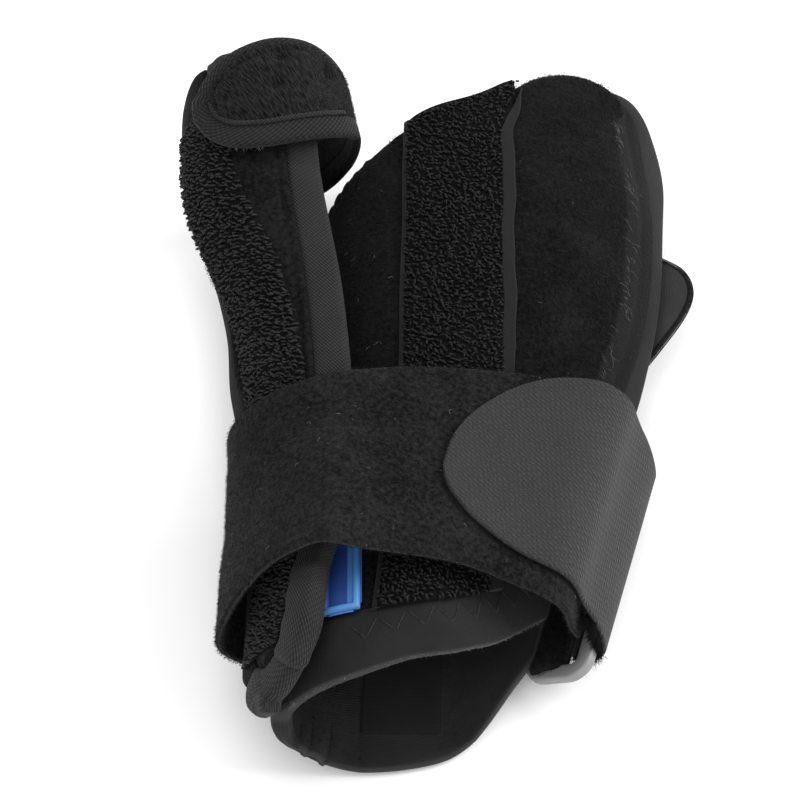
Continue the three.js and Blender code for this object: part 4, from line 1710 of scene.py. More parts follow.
    def build_flap(self) -> None:
        """Grey flap with an oversewn edge."""
        look = self.finish
        face = lifted(self.flap, GAP + self.flap_thick)
        knit = wall("flap_knit", face, self.flap_thick, Net(50, 60), 0.8, (look.knit, look.knit))
        cloth(dress(knit, Slot.KNIT, "closure_flap"), face, Held.FOLDED, "back_foam")
        middle = lifted(self.flap, GAP + self.flap_thick / 2)
        edge = Edge.along(middle, Trail((0, 0, 1), (1, 0, 0)), np.linspace(0.01, 0.99, 160))
        turn = np.linspace(0.25, 2 * np.pi - 0.25, 9)[:, None]
        ahead = unit(np.gradient(edge.place, axis=0))
        place, out, normal, way = (part[1:-1, None] for part in (edge.place, edge.out, edge.normal, ahead))
        paths = place - out * (0.35 - 0.85 * np.cos(turn)) + normal * np.sin(turn) + way * turn / 8
        strands("flap_overlock", paths, 0.13, ahead[1:-1], look.dark_thread, Slot.KNIT)

    def build_label(self) -> None:
        """Bare moulded label with a raised rim."""
        rim, wide, long = 1.6, abs(np.diff(self.label_x)[0]), abs(np.diff(self.label_y)[0])

        def height(points: Array, u: Array, v: Array) -> Array:
            """The plate's height, higher along its rim."""
            inside = np.minimum(np.minimum(u, 1 - u) * wide, np.minimum(v, 1 - v) * long)
            return GAP + 1.6 + 0.9 * (1 - smooth(inside, rim - 0.4, rim + 0.2))

        face = lifted(self.label_face, height)
        plate = wall("label_plate", face, 2.2, Net(36, 80, 0.3), 0.6, (self.finish.label,))
        layer = plate.data.uv_layers[FLAT]
        values = np.zeros(len(plate.data.vertices))
        for loop in plate.data.loops:
            x, y = layer.uv[loop.index].vector / METRE
            values[loop.vertex_index] = min(x, wide - x, y, long - y) < rim
        plate.data.attributes[TRIM].data.foreach_set("value", values)
        dress(plate, Slot.LABEL, "label")


@dataclass
class Stay:
    """The padded trough along the thumb: velour body, loop strip and twill edge."""

    finish: Finishes
    thick: float = 4.4
    swell: float = 0.5
    binding_width: float = 8.5
    binding_thick: float = 5.4
    wrist_round: float = 9.0
    tongue: float = 5.4
    lap_shift: float = 4.4
    lap_shift_y: float = -60.0
    lap_shift_length: float = 14.5
    lap_y: Span = (-83.0, -38.0)
    thumb_round: float = 22.0
    tip: float = 0.1
    crowd: float = 0.7
    tape_wall: float = 2.0
    loop_field: Span = (21.0, 165.0)
    under_strap: Span = (-46.0, -20.0)

    sections = Table(
        "y x z lean radius left right",
        (-91, -43, 32, 55, 34, 11, 9),
        (-80, -40, 38, 54, 36, 16, 14),
        (-55, -37, 42, 48, 32, 22, 18),
        (-20, -38, 44, 40, 25, 20.5, 18),
        (20, -41, 47, 30, 20, 27, 17),
        (60, -51, 54, 20, 20, 34, 20),
        (97, -52, 59, 15, 20, 31, 19),
    )
    strip = Table(
        "y left right",
        (-79, -11.5, 4),
        (-40, -12.5, 6),
        (-10, -11.5, 7),
        (12, -14, 5),
        (40, -18.8, 2),
        (66, -25, -3),
        (80, -23, -5),
    )
    rim = Trail((0, 1, 0), (0.44, 1, 1), (0.5, 0, 1), (0.94, 0, 0), (1, 1, 0))

    def point(self, reach: Array, y: Array) -> Array:
        """Finds points of the middle layer.

        Args:
            reach: distance across it from its middle line.
            y: place along the arm.

        Returns:
            The points.
        """
        row = self.sections.at(y)
        tilt = np.radians(row["lean"])
        bent = np.clip(reach, self.binding_width - row["left"], row["right"] - self.binding_width)
        turn = bent / row["radius"]
        across = row["radius"] * np.sin(turn) + (reach - bent) * np.cos(turn)
        drop = row["radius"] * (1 - np.cos(turn)) + (reach - bent) * np.sin(turn)
        x = row["x"] + across * np.cos(tilt) + drop * np.sin(tilt)
        return np.stack([x, y, row["z"] + across * np.sin(tilt) - drop * np.cos(tilt)], -1)

    def taper(self, y: Array) -> Array:
        """Finds how much the rounded ends narrow the body.

        Args:
            y: place along the arm.

        Returns:
            Share of the full width.
        """
        first, last = self.sections.span
        wrist = rounded((y - first - self.binding_width) / self.wrist_round)
        thumb = rounded((last - self.binding_width - y) / self.thumb_round)
        return np.maximum(wrist * thumb, self.tip)

    def reach(self, u: Array, v: Array) -> tuple[Array, Array]:
        """Finds a place on the body.

        Args:
            u: share across it.
            v: share from the wrist to the thumb.

        Returns:
            Reach across the body, and y.
        """
        first, last = self.sections.span
        crowded = mix(v, (1 - np.cos(np.pi * v)) / 2, self.crowd)
        y = mix(first + self.binding_width, last - self.binding_width, crowded)
        row = self.sections.at(y)
        low, high = self.binding_width - row["left"], row["right"] - self.binding_width
        return mix((low + high) / 2, mix(low, high, u), self.taper(y)), y

    def body(self, u: Array, v: Array) -> Array:
        """The middle layer of the padded body."""
        return self.point(*self.reach(u, v))

    def loop_strip(self, u: Array, v: Array) -> Array:
        """The loop strip's place on the middle layer."""
        y = mix(*self.strip.span, v)
        return self.point(self.strip.between(y, u), y)

    def outline(self, at: Array) -> tuple[Array, Array]:
        """Once round the body's edge and on."""
        return self.rim(at % 1.0)

    def build(self) -> None:
        """Builds every piece of the stay."""
        look = self.finish

        def padding(points: Array, u: Array, v: Array) -> Array:
            """Half the thickness, with the seam beside the twill.

            Args:
                points: places on the middle layer.
                u: share across.
                v: share along.

            Returns:
                Height above the middle layer.
            """
            row = self.sections.at(points[:, 1])
            seam = bell((1 - u) * (row["left"] + row["right"] - 2 * self.binding_width) - 2.6, 0.7)
            return self.thick / 2 + self.swell - 0.8 * seam + 0.15 * np.sin(0.5 * points[:, 1] + 6 * u)

        def bare(points: Array, u: Array, v: Array) -> Array:
            """Keeps the hairs off the loop strip and what the strap hides.

            Args:
                points: the hairs' roots.
                u: share across.
                v: share along.

            Returns:
                True for each hair that stays.
            """
            reach, y = self.reach(u, v)
            row = self.strip.at(y)
            first, last = self.strip.span
            beside = (reach < row["left"] + 0.5) | (reach > row["right"] - 0.5)
            return (beside | (y > last) | (y < first + 1)) & beyond(y, self.under_strap)

        face = lifted(self.body, padding)
        both = (look.stay, look.lining)
        body = wall("stay_velour", face, self.thick + self.swell, Net(48, 130), 2.0, both)
        dress(body, Slot.VELOUR, "thumb_stay")
        nap = Nap(count=9000, length=0.8, lean=(0.1, -0.6), seed=31)
        nap.grow("stay_pile", face, look.pile, Slot.VELOUR, bare)
        self.build_strip()
        self.build_twill()
        self.build_lap()

    def build_strip(self) -> None:
        """Loop strip: ground and slanting rows of loops."""
        look = self.finish
        base = lifted(self.loop_strip, self.thick / 2 + self.swell)
        ground = wall("stay_loop_ground", lifted(base, 0.6), 0.9, Net(24, 90), 0.5, (look.loop_ground,) * 2)
        cloth(dress(ground, Slot.LOOP, "stay_loop_tape"), base, Held.LAID, "stay_velour")
        pile = LoopPile(
            pitch_across=1.2, pitch_along=1.15, turn=-0.45, stray=0.3, height=1.1, yarn=0.27, seed=13
        )
        pile.weave("stay_loops", lifted(base, 0.5), self.loop_field, look.stay_loop, self.under_strap)

    def build_twill(self) -> None:
        """Twill tape along the right edge, and the velour rolled over the left one."""
        look = self.finish
        at = np.linspace(0.912, 1.505, 240)
        edge = Edge.along(self.body, self.outline, at)
        puff = 0.15 * np.sin(0.4 * run_along(edge.place))
        y = edge.place[:, 1]
        slim = 1.2 * self.lap_shift * bell(y - self.lap_shift_y, self.lap_shift_length)
        longer = self.tongue * (1 - smooth(y, -85, -79)) * (1 - 0.8 * smooth(at, 0.96, 1.0))
        width = self.binding_width + 0.8 - slim + longer
        band = tape("stay_twill", edge, width, self.binding_thick + puff, look.twill, -0.6)
        dress(band, Slot.TWILL, "stay_binding")
        side = Edge.along(self.body, self.outline, np.linspace(0.49, 0.928, 200))
        full = 1.9 * bell(side.place[:, 1] - 9, 15) - 1.5 * bell(side.place[:, 1] - 46, 13)
        width = self.binding_width + 1.6
        dress(tape("stay_side", side, width, self.binding_thick, look.stay, -1.2, full), Slot.VELOUR)

    def build_lap(self) -> None:
        """Lapped end of the twill by the wrist."""
        y = np.linspace(*self.lap_y, 70)
        shift = self.lap_shift * bell(y - self.lap_shift_y, self.lap_shift_length)
        reach = self.sections.at(y)["right"] - self.binding_width - 0.6 - shift

        def straight(u: Array, v: Array) -> Array:
            """The body's right side carried straight on past its rounded end."""
            run = mix(*self.lap_y, v)
            return self.point(np.interp(run, y, reach) - 2 + 2 * u, run)

        lap = Edge.along(straight, Trail((0, 1, 0), (1, 1, 1)), np.linspace(0.01, 0.99, 70))
        run = run_along(lap.place)
        loose = 1 - smooth(run, 12.0, 40.0)
        wavy = 0.25 * loose * np.sin(0.9 * run)
        width, deep = self.binding_width + 0.9 + wavy, self.binding_thick + 0.7 * loose
        rise = 1.2 * loose + wavy
        end = tape("stay_twill_lap", lap, width, deep, self.finish.twill, -0.2, rise, blunt=0.4)
        dress(end, Slot.TWILL)


@dataclass
class ThumbStrap:
    """The strap round the thumb that ends in an oval tab."""

    finish: Finishes
    thick: float = 2.0
    binding_width: float = 4.2
    binding_thick: float = 3.2
    tip_length: float = 0.17
    finger_tip_length: float = 0.33
    blunt: float = 0.98
    centre: tuple[float, float, float] = (-45.0, 81.5, 42.0)
    skew: float = 14.0
    lift: float = 8.0
    dimples: tuple[Span, ...] = ((0.79, 0.2), (0.82, 0.52), (0.66, 0.3))
    dimple_width: float = 1.8
    dimple_depth: float = 2.3
    overhang: float = 3.2
    tab_from: float = 0.66

    loop = Table(
        "row across up width",
        (0, -15.5, -11, 18),
        (1, -10, -18.5, 19),
        (2, 1, -21.5, 19),
        (3, 12, -18.5, 19),
        (4, 19.5, -10.5, 17),
        (5, 22, 0, 17.5),
        (6, 20.2, 10.5, 21.5),
        (7, 13.3, 18.8, 28.5),
        (8, 3.4, 22.9, 32),
        (9, -7.8, 22.5, 32),
        (10, -16.4, 18.2, 30),
    )
    rim = Trail((0, 0, 0), (0.47, 1, 0), (0.53, 1, 1), (1, 0, 1))

    def band(self, u: Array, v: Array) -> Array:
        """The strap's middle layer, from inside the stay round to the tab."""
        return self.spread(u, v, 0.0)

    def cover(self, u: Array, v: Array) -> Array:
        """The velour's layer, which swells over the twill at the tab's finger side."""
        return self.spread(u, v, self.overhang * smooth(u, 0.42, 0.58))

    def spread(self, u: Array, v: Array, over: Amount) -> Array:
        """The strap's middle layer, carried on past its finger edge.

        Args:
            u: share along the strap, from inside the stay to the tab's tip.
            v: share across, from the finger edge to the wrist edge.
            over: how far it goes past the finger edge, in millimetres.

        Returns:
            The points.
        """
        row = self.loop.at(u * self.loop.span[1])
        tips = np.array([self.finger_tip_length, self.tip_length])[:, None]
        finger, wrist = np.sqrt(1 - np.clip((u - 1 + tips) / tips, 0, self.blunt) ** 2)
        half = row["width"] / 2 - self.binding_width
        y = mix(half * finger, -half * wrist, v) + over * finger * (1 - v)
        x, z = row["across"], row["up"]
        pitch, skew = np.radians(self.lift), np.radians(self.skew)
        y, z = y * np.cos(pitch) - z * np.sin(pitch), y * np.sin(pitch) + z * np.cos(pitch)
        x, y = x * np.cos(skew) - y * np.sin(skew), x * np.sin(skew) + y * np.cos(skew)
        return np.stack([x, y, z], -1) + np.array(self.centre)

    def build(self) -> None:
        """Builds the strap, its pile and its edges."""
        look = self.finish

        def padding(points: Array, u: Array, v: Array) -> Array:
            """Half the thickness, swelling on the tab around its three dimples.

            Args:
                points: places on the middle layer.
                u: share along the strap.
                v: share across.

            Returns:
                Height above the middle layer.
            """
            tab = smooth(u, self.tab_from, self.tab_from + 0.1)
            rim = rim_distance(self.cover, u, v)
            swell = 0.8 * (1 - v) * smooth(u, 0.42, 0.58) + 1.6 * np.sqrt(np.clip(rim / 7.0, 0, 1)) * tab
            wide, long = stretches(self.cover, u, v)
            away = (np.hypot((u - at) * wide, (v - over) * long) for at, over in self.dimples)
            dents = sum(bell(far, self.dimple_width) for far in away)
            seam = bell(rim - 3.0, 0.6) * tab * (1 - smooth(v, 0.5, 0.8))
            return self.thick / 2 + swell - self.dimple_depth * dents - 0.7 * seam

        face = lifted(self.cover, padding)
        # The outer face and its hairs take the lighter tab velour: painted light from above.
        strap = wall("thumb_velour", face, self.thick + 0.4, Net(160, 64), 1.6, (look.tab, look.velour))
        cloth(dress(strap, Slot.VELOUR, "thumb_strap"), self.band, Held.FOLDED, "stay_velour")
        nap = Nap(count=13000, length=0.9, lean=(-0.6, 0.6), ruffle=0.4, seed=41)
        nap.grow("thumb_pile", face, look.painted_light_tab_pile, Slot.VELOUR, lambda points, u, v: u > 0.4)
        self.build_edges()

    def build_edges(self) -> None:
        """Twill edge, the velour rolled over its hidden part, the ridge inside it and loose threads."""
        look = self.finish
        wide, deep = self.binding_width, self.binding_thick
        edge = Edge.along(self.band, self.rim, np.linspace(0.004, 0.735, 220))
        twill = tape("thumb_twill", edge, wide + 1.8, deep, look.tab_twill, -1.0)
        dress(twill, Slot.TWILL, "thumb_strap_binding")
        under = Edge.along(self.band, self.rim, np.linspace(0.715, 0.996, 90))
        dress(tape("thumb_side", under, wide + 1.4, deep - 0.4, look.velour, -1.0), Slot.VELOUR)
        ridge = Edge.along(self.band, self.rim, np.linspace(0.47, 0.7, 130))
        dress(tape("thumb_ridge", ridge, 1.2, 1.1, look.twill, -1.9, rise=1.75, sides=10), Slot.TWILL)
        fray = Fray(
            count=24,
            length=(1.0, 2.2),
            outwards=(0.9, 1.0),
            rise=(-0.2, 0.4),
            sway=0.25,
            depth=(-0.8, 0.8),
            inset=-wide - 0.5,
            seed=43,
        )
        fray.grow("thumb_fray", self.band, self.rim.part(0.555, 0.592), look.hair, Slot.TWILL)


@dataclass
class WristStrap:
    """The wide strap over the stay, its grey hook tab, the ring and the ring's webbing."""

    finish: Finishes
    sleeve: Sleeve
    stay: Stay
    thick: float = 1.8
    length: float = 210.0
    start_x: float = -14.0
    middle_z: float = 24.0
    shoulder_radius: float = 14.0
    shoulder_inset: float = 2.0
    shoulder_z: float = 31.0
    stand_off: float = 3.2
    stand_off_from: float = 15.0
    stand_off_to: float = 60.0
    averaged: float = 0.015
    tape_soft: float = 3.0
    hook_thick: float = 1.5
    turn: float = 3.7
    hook_start: float = 0.97
    hook_rise: float = 22.0
    slot_start: tuple[float, float, float] = (33.4, -67.0, 13.0)
    slot_end: tuple[float, float, float] = (49.5, -11.0, 13.0)
    ring_tilt: float = 33.0
    ring_bar: float = 4.4
    ring_thick: float = 3.2
    ring_gap: float = 11.0
    ring_corner: float = 4.0
    ring_play: float = 1.0
    anchor_thick: float = 1.3
    anchor_margin: float = 6.0
    anchor_turn: float = 3.7
    anchor_wrap: float = 0.95
    anchor_length: float = 26.0
    anchor_seat: float = 1.2
    anchor_slope: float = 14.0
    anchor_fray: float = 5.5
    curl_radius: float = 4.9
    curl_turn: float = 6.4
    curl_width: float = 24.0
    curl_past: float = 1.9
    curl_ahead: float = 4.5
    curl_start: float = 0.6
    curl_closing: float = 0.04
    station_span: Span = (-74.0, 2.0)
    stations: int = 40
    samples: int = 240
    soften: float = 4.0

    edges = Table(
        "at low_y high_y",
        (0, -64, -8),
        (0.16, -70, -10),
        (0.3, -69.5, -11),
        (0.45, -61.5, -8),
        (0.58, -61, -3),
        (0.7, -60.8, -2),
        (0.85, -66, -4),
        (0.94, -64, -7),
        (1, -60, -10),
    )
    hook_edges = Table(
        "reach low_y high_y",
        (-10, -65, -10),
        (0, -64, -10),
        (12, -61, -6),
        (25, -60, -4),
        (38, -57.6, -3),
        (50, -52.4, -5),
        (60, -45.4, -12),
        (66, -38, -21),
        (67.5, -34, -26),
    )

    def __post_init__(self) -> None:
        """Lays the strap's route at each station along the arm."""
        self.station_y = np.linspace(*self.station_span, self.stations)
        routes = [self.route(y) for y in self.station_y]
        self.lengths = np.array([length for _, length in routes])
        self.lines = softened(np.stack([line for line, _ in routes]), self.soften, axis=1)

    def slot_at(self, y: float) -> Array:
        """Place of the strap's turn at the ring, across the arm."""
        start, end = np.array(self.slot_start), np.array(self.slot_end)
        return mix(start, end, (y - start[1]) / (end[1] - start[1]))[[0, 2]]

    def route(self, y: float) -> tuple[Array, float]:
        """The strap across the arm at y: tight round the stay and the front, from the back to the ring.

        Args:
            y: place along the arm.

        Returns:
            Evenly spaced points across and up, and the route's length.
        """
        row = self.sleeve.sections.at(y)
        middle = np.array([(row["left"] + row["right"]) / 2, self.middle_z])
        clear = GAP + self.thick / 2

        def pushed(places: Array, extra: Amount) -> Array:
            """Points moved out from the middle by the strap's clearance."""
            flat = places[:, [0, 2]]
            return flat + unit(flat - middle) * np.broadcast_to(clear + extra, (len(flat),))[:, None]

        angle = np.arange(0.3, np.pi, 0.1)
        level = np.full_like(angle, y)
        front = self.sleeve.front_point(angle, level)
        beside = np.abs(front[:, 0] - self.sleeve.tape_line.at(y)["x"])
        on_tape = beside < self.sleeve.tape_width / 2 + self.tape_soft
        back = self.sleeve.back_point(angle, level)[angle > np.pi / 2]
        body = self.stay.sections.at(y)
        reach = np.linspace(-body["left"], body["right"], 21)
        open_up = self.stand_off * smooth(-y, self.stand_off_from, self.stand_off_to)
        over_tape = self.stay.thick / 2 + self.stay.tape_wall + 4 * GAP
        over_edge = self.stay.binding_thick / 2 + 2 * GAP
        left = self.stay.strip.at(y)["left"] - self.tape_soft
        over = np.where(reach < left, over_edge, over_tape) + open_up
        slot = self.slot_at(y)
        bend = np.linspace(0, np.pi / 2, 9)
        x = slot[0] - self.shoulder_inset - self.shoulder_radius * (1 - np.cos(bend))
        start = np.array([self.start_x, row["base_z"] - clear])
        points = np.concatenate(
            [
                pushed(front, np.where(on_tape, self.stay.tape_wall + 2 * GAP, GAP)),
                pushed(back, 0.0),
                pushed(self.stay.point(reach, np.full_like(reach, y)), over),
                np.stack([x, self.shoulder_z + self.shoulder_radius * np.sin(bend)], -1),
            ]
        )
        points = np.concatenate([points[points[:, 1] > start[1]], [start, slot]])
        line = self.drawn_tight(points, start)
        run = run_along(line)
        return read_along(line, run, np.linspace(0, run[-1], self.samples + 1)), run[-1]

    @staticmethod
    def drawn_tight(points: Array, start: Array) -> Array:
        """Finds the convex way round points, from the under side to the far right.

        Args:
            points: places across and up.
            start: the one that it starts from.

        Returns:
            The points on the way.
        """

        def chain(ordered: Array) -> list[Array]:
            """One side of the hull.

            Args:
                ordered: the places in the order of the walk.

            Returns:
                Its corners.
            """
            kept: list[Array] = []
            for point in ordered:
                while len(kept) > 1:
                    (ax, az), (bx, bz) = kept[-2], kept[-1]
                    if (bx - ax) * (point[1] - az) - (bz - az) * (point[0] - ax) > 0:
                        break
                    kept.pop()
                kept.append(point)
            return kept

        ordered = points[np.lexsort((points[:, 1], points[:, 0]))]
        lower, upper = chain(ordered), chain(ordered[::-1])
        first = next(n for n, point in enumerate(lower) if np.array_equal(point, start))
        return np.array(lower[: first + 1][::-1] + upper[::-1][1:])

    def place(self, share: Array, y: Array) -> Array:
        """Finds a place on the strap.

        Args:
            share: share of the way to the ring.
            y: place along the arm.

        Returns:
            Places across and up.
        """
        spacing = self.station_y[1] - self.station_y[0]
        row = np.clip((y - self.station_y[0]) / spacing, 0, self.stations - 1.001)
        column = np.clip(share, 0, 0.99999) * self.samples
        i, j = row.astype(int), column.astype(int)
        a, b = (row - i)[:, None], (column - j)[:, None]
        near = mix(self.lines[i, j], self.lines[i, j + 1], b)
        return mix(near, mix(self.lines[i + 1, j], self.lines[i + 1, j + 1], b), a)

    def frame(self, reach: Array, y: Array) -> tuple[Array, Array, Array]:
        """Finds the strap's frame.

        Args:
            reach: distance back from the ring.
            y: place along the arm.

        Returns:
            Place, way ahead and way out, each across and up.
        """
        share = 1 - reach / np.interp(y, self.station_y, self.lengths)
        ahead = unit(self.place(share + self.averaged, y) - self.place(share - self.averaged, y))
        return self.place(share, y), ahead, np.stack([-ahead[:, 1], ahead[:, 0]], -1)

    def band(self, u: Array, v: Array) -> Array:
        """The strap's middle layer, from the back to the ring."""
        y = self.edges.between(u, v)
        return upright(self.place(u, y), y)

    def curl(self, u: Array, v: Array) -> Array:
        """The strap's cut end, rolled up in the ring's gap, round and closed by the wrist.

        Args:
            u: share round the roll.
            v: share along it, from the wrist.

        Returns:
            The points.
        """
        low = self.slot_start[1] + 1.0
        y = mix(low - self.curl_past, low + self.curl_width, v)
        flat, ahead, out = self.frame(np.full_like(y, self.curl_start), y)
        angle = self.curl_turn * u
        radius = self.curl_radius * (1 - 0.1 * u) * mix(0.02, 1.0, rounded(v / self.curl_closing))
        flat = flat - out * (self.curl_radius + self.thick / 2 + 0.2) + ahead * self.curl_ahead
        flat = flat + out * (radius * np.cos(angle))[:, None] + ahead * (radius * np.sin(angle))[:, None]
        return upright(flat, y)

    def hook_chart(self, u: Array, v: Array) -> Array:
        """Distance from the ring, and y, on the hook tab."""
        reach = mix(self.hook_edges.span[1], -np.pi * self.turn * self.hook_start, u)
        return np.stack([reach, self.hook_edges.between(reach, v)], -1)

    def hook(self, u: Array, v: Array) -> Array:
        """The hook tab's middle layer: inside the ring, round its bar and back over the strap.

        Args:
            u: share from its tip to its start inside the ring.
            v: share across.

        Returns:
            The points.
        """
        reach, y = self.hook_chart(u, v).T
        flat, ahead, out = self.frame(np.maximum(reach, 0), y)
        seated = (self.thick + self.hook_thick) / 2 + GAP
        angle = np.pi * (1 + np.minimum(reach, 0) / (np.pi * self.turn))
        over = mix(2 * self.turn, seated, smooth(reach, 0, self.hook_rise))
        height = np.where(reach < 0, self.turn * (1 - np.cos(angle)), over)
        past = np.where(reach < 0, self.turn * np.sin(angle), 0.0)
        return upright(flat + out * height[:, None] + ahead * past[:, None], y)

    def ring_frame(self) -> tuple[Array, Array, Array, Array]:
        """Finds the ring's outer bar.

        Returns:
            Its middle, and the ways across, along and up from the ring.
        """
        middle_y = (self.slot_start[1] + self.slot_end[1]) / 2
        flat, _, out = self.frame(np.zeros(1), np.array([middle_y]))
        flat = flat + out * self.turn
        along = unit(np.array(self.slot_end) - np.array(self.slot_start))
        tilt = np.radians(self.ring_tilt)
        level = unit(np.array([-along[1], along[0], 0.0]))
        across = level * np.cos(tilt) - np.array([0, 0, np.sin(tilt)])
        up = unit(np.cross(across, along))
        return np.array([flat[0, 0], middle_y, flat[0, 1]]), unit(np.cross(along, up)), along, up

    def slot_length(self) -> float:
        """Clear length of the ring's slot."""
        return np.linalg.norm(np.array(self.slot_end) - np.array(self.slot_start)) + 2 * self.ring_play

    def webbing(self, u: Array, v: Array) -> Array:
        """The webbing under the back that goes round the ring's inner bar.

        Args:
            u: share from under the back to its end round the bar.
            v: share across.

        Returns:
            The points.
        """
        bar, across, along, _ = self.ring_frame()
        bar = bar + across * (self.ring_gap + self.ring_bar)
        to_right = unit(np.array([along[1], -along[0], 0.0]))
        at = mix(-self.anchor_length, self.anchor_turn * np.pi * self.anchor_wrap, u)
        angle = np.maximum(at, 0) / self.anchor_turn
        over = np.where(at < 0, at, self.anchor_turn * np.sin(angle))
        half = self.slot_length() / 2 - self.anchor_margin
        points = bar + to_right * over[:, None] + along * mix(-half - self.anchor_fray, half, v)[:, None]
        floor = mix(bar[2] - self.anchor_turn, self.anchor_seat, smooth(-at, 0, self.anchor_slope))
        points[:, 2] = floor + self.anchor_turn * (1 - np.cos(angle))
        return points

    def build(self) -> None:
        """Builds the strap, the hook tab, the ring and its webbing."""
        self.build_strap()
        self.build_hook()
        self.build_ring()
        self.build_webbing()

    def build_strap(self) -> None:
        """Velour strap with its pile, its fuzzy lower edge and its rolled end."""
        look = self.finish

        def swell(points: Array, u: Array, v: Array) -> Array:
            """Half the thickness and soft waves."""
            waves = np.sin(0.12 * points[:, 0] + 0.2 * points[:, 1]) * np.sin(np.pi * v)
            return self.thick / 2 + 0.18 * waves

        def chart(u: Array, v: Array) -> Array:
            """Flat length and width."""
            return np.stack([u * self.length, self.band(u, v)[:, 1]], -1)

        def outside(points: Array, u: Array, v: Array) -> Array:
            """Hairs where the strap shows over the splint."""
            return (u > 0.12) & (u < 0.97)

        face = lifted(self.band, swell)
        both = (look.strap, look.strap)
        strap = wall("strap_velour", face, self.thick, Net(160, 50), 0.9, both, chart, worn=0.45)
        dress(strap, Slot.STRAP, "wrist_strap")
        cloth(strap, self.band, Held.STRETCHED, "stay_velour", "tape_ground")
        nap = Nap(count=30500, length=0.9, radius=0.075, lean=(0.1, -0.4), ruffle=0.8, seed=51)
        nap.grow("strap_pile", face, look.strap_pile, Slot.STRAP, outside)
        flecks = Nap(count=1700, length=1.2, radius=0.05, lean=(0.1, -0.9), ruffle=1.1, seed=55)
        flecks.grow("strap_flecks", face, look.fleck, Slot.STRAP, outside)
        rim = Fray(
            2600, (0.4, 1.0), outwards=(0.1, 0.8), rise=(0.2, 0.7), depth=(-0.9, 0.9), inset=0.2, seed=57
        )
        rim.grow("strap_fringe", self.band, Trail((0, 0.1, 0), (1, 0.97, 0)), look.strap_pile, Slot.STRAP)
        # The rolled end is the strap's own cloth but takes the darker front velour and hairs: painted shade
        # for the deep gap in the ring.
        dress(wall("strap_curl", self.curl, 1.2, Net(60, 40), 0.6, (look.velour, look.velour)), Slot.STRAP)
        fuzz = Nap(count=4000, length=1.2, lean=(0.1, -0.4), ruffle=0.9, seed=53)
        fuzz.grow("strap_curl_pile", self.curl, look.pile, Slot.STRAP)

    def build_hook(self) -> None:
        """Woven hook tab and the hooks that show at its fold."""
        look = self.finish
        face, under = lifted(self.hook, self.hook_thick / 2), lifted(self.hook, -self.hook_thick / 2)
        both = (look.hook, look.stubble)
        tab = wall("hook_tape", face, self.hook_thick, Net(110, 50), 0.6, both, self.hook_chart)
        cloth(dress(tab, Slot.HOOK, "hook_tab"), self.hook, Held.FOLDED, "strap_velour")

        def turned(u: Array, v: Array) -> Array:
            """The under side, facing inwards."""
            return under(u, 1 - v)

        def at_fold(points: Array, u: Array, v: Array) -> Array:
            """The rim of the fold by the wrist, where the hooks are seen."""
            return (u > 0.55) & (1 - v < 0.2)

        nap = Nap(count=14000, length=1.3, radius=0.07, lean=(0, 0.4), ruffle=0.35, seed=61)
        nap.grow("hook_pile", turned, look.stubble, Slot.HOOK, at_fold)
        rim = Fray(
            count=2600,
            length=(0.8, 3.4),
            outwards=(0.2, 1.0),
            rise=(-0.7, 0.5),
            depth=(-0.2, 1.6),
            radius=0.08,
            bend=0.5,
            seed=63,
        )
        rim.grow("hook_fringe", self.hook, Trail((0, 0.72, 0), (1, 0.99, 0)), look.pile, Slot.HOOK)

    def build_ring(self) -> None:
        """Moulded ring, an oblong with round corners."""
        bar, across, along, up = self.ring_frame()
        half = (self.slot_length() + self.ring_bar) / 2 - self.ring_corner
        near, far = self.ring_corner, self.ring_gap + self.ring_bar - self.ring_corner
        bend = np.linspace(0, np.pi / 2, 10)
        place, out = [], []
        for quarter, middle in enumerate(((far, half), (near, half), (near, -half), (far, -half))):
            angle = bend + quarter * np.pi / 2
            out.append(np.stack([np.cos(angle), np.sin(angle)], -1))
            place.append(np.array(middle) + out[-1] * self.ring_corner)
        steps = np.linspace(0, 1, 6)[:-1, None]
        flat, way = (
            mix(line[:, None], np.roll(line, -1, axis=0)[:, None], steps).reshape(-1, 2)
            for line in (np.concatenate(place), np.concatenate(out))
        )
        way = unit(way)
        edge = Edge(
            bar + across * flat[:, :1] + along * flat[:, 1:],
            across * way[:, :1] + along * way[:, 1:],
            np.broadcast_to(up, (len(flat), 3)),
        )
        wide, deep = self.ring_bar, self.ring_thick
        ring = tape("ring", edge, wide, deep, self.finish.ring, -wide / 2, closed=True, sides=20)
        dress(ring, Slot.RING, "strap_ring")

    def build_webbing(self) -> None:
        """Webbing round the ring's inner bar."""
        face = lifted(self.webbing, self.anchor_thick / 2)
        both = (self.finish.ribbed, self.finish.ribbed)
        anchor = wall("ring_webbing", face, self.anchor_thick, Net(60, 40), 0.5, both)
        cloth(dress(anchor, Slot.LINING, "ring_anchor"), self.webbing, Held.FOLDED, "ring")


@dataclass
class Lint:
    """A few pale fibres caught in the pile."""

    finish: Finishes
    count: int = 70
    length: float = 1.6
    radius: float = 0.05
    lift: float = 0.55

    def build(self, name: str, surface: Surface, seed: int) -> None:
        """Scatters the fibres over a face.

        Args:
            name: the object's name.
            surface: the face that they lie on.
            seed: which scatter is drawn.
        """
        points, normal, along_u, along_v = scattered(surface, seed, self.count)
        rng = np.random.default_rng(seed)
        turn = rng.uniform(0, 2 * np.pi, (len(points), 1))
        way = along_u * np.cos(turn) + along_v * np.sin(turn)
        share = np.linspace(-0.5, 0.5, 5)[:, None]
        reach = self.length * rng.uniform(0.3, 1.0, (len(points), 1, 1))
        curl = rng.normal(0, 0.8, (len(points), 1, 1))
        bent = way[:, None] * share + np.cross(normal, way)[:, None] * curl * share**2
        paths = points[:, None] + normal[:, None] * self.lift + bent * reach
        strands(name, paths, self.radius, normal, self.finish.lint, Slot.VELOUR, sides=3)


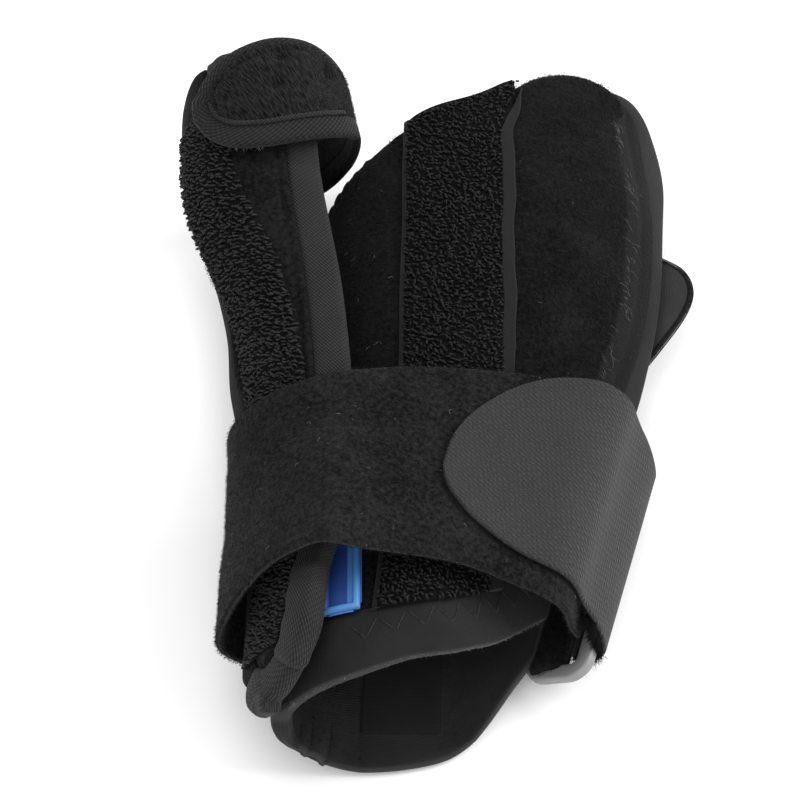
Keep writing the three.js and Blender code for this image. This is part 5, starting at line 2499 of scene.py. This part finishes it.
@dataclass
class Studio:
    """Pale floor, soft lights and the camera."""

    aim: tuple[float, float, float] = (-10.5, -2.0, 25.0)
    elevation: float = 55.0
    distance: float = 800.0
    lens: float = 136.8
    sensor: float = 36.0
    clip: float = 0.05
    floor_size: float = 6.0
    sky: float = 0.8

    def build(self) -> None:
        """Builds the studio."""
        self.build_floor()
        self.build_camera()
        self.build_lights()

    def build_floor(self) -> None:
        """A wide pale floor just under the splint."""
        bm = bmesh.new()
        bmesh.ops.create_grid(bm, x_segments=2, y_segments=2, size=self.floor_size / 2)
        floor = from_bmesh("floor", bm, [Pale().make()])

    def build_camera(self) -> None:
        """The camera at the photo's angle."""
        data = bpy.data.cameras.new("camera")
        data.lens = self.lens
        data.sensor_width = self.sensor
        data.clip_start = self.clip
        camera = bpy.data.objects.new("camera", data)
        turn = np.radians(self.elevation)
        away = Vector((0.0, -np.cos(turn), np.sin(turn)))
        camera.location = Vector(self.aim) * METRE + away * self.distance * METRE
        camera.rotation_euler = away.to_track_quat("Z", "Y").to_euler()
        bpy.context.scene.collection.objects.link(camera)
        bpy.context.scene.camera = camera

    def add_light(self, name: str, place: tuple[float, float, float], size: float, power: float) -> None:
        """Adds a soft square light that faces the splint.

        Args:
            name: its name.
            place: where it stands, in metres.
            size: its side in metres.
            power: its watts.
        """
        data = bpy.data.lights.new(name, "AREA")
        data.size = size
        data.energy = power
        light = bpy.data.objects.new(name, data)
        light.location = place
        light.rotation_euler = Vector(place).to_track_quat("Z", "Y").to_euler()
        bpy.context.scene.collection.objects.link(light)

    def build_lights(self) -> None:
        """Soft light from the right, weaker ones from the front and above, and a white sky."""
        self.add_light("key", (1.2, 0.3, 0.9), size=0.9, power=19.5)
        self.add_light("front", (-0.2, -1.3, 0.7), size=1.2, power=9.0)
        self.add_light("top", (-0.3, 0.4, 1.5), size=1.0, power=8.0)
        world = bpy.data.worlds.new("studio")
        world.use_nodes = True
        backdrop = next(node for node in world.node_tree.nodes if node.type == "BACKGROUND")
        backdrop.inputs["Color"].default_value = (1.0, 1.0, 1.0, 1.0)
        backdrop.inputs["Strength"].default_value = self.sky
        bpy.context.scene.world = world
        bpy.context.scene.view_settings.view_transform = "Standard"


def corners(box: Sequence[Sequence[float]]) -> list[list[float]]:
    """A box's two corners as plain numbers."""
    return [[float(value) for value in corner] for corner in box]


def main() -> None:
    """Loads the frame, builds the studio and the splint."""
    logging.basicConfig(level=logging.INFO, format="%(name)s: %(message)s")
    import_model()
    Studio().build()
    finish = Finishes()
    sleeve = Sleeve(finish)
    stay = Stay(finish)
    thumb = ThumbStrap(finish)
    strap = WristStrap(finish, sleeve, stay)
    for part in (sleeve, stay, thumb, strap):
        part.build()
        log.info("%s built", type(part).__name__)
    lint = Lint(finish)
    lint.build("front_lint", lifted(sleeve.front, sleeve.relief), 71)
    lint.build("strap_lint", lifted(strap.band, strap.thick / 2), 72)


if __name__ == "__main__":
    main()
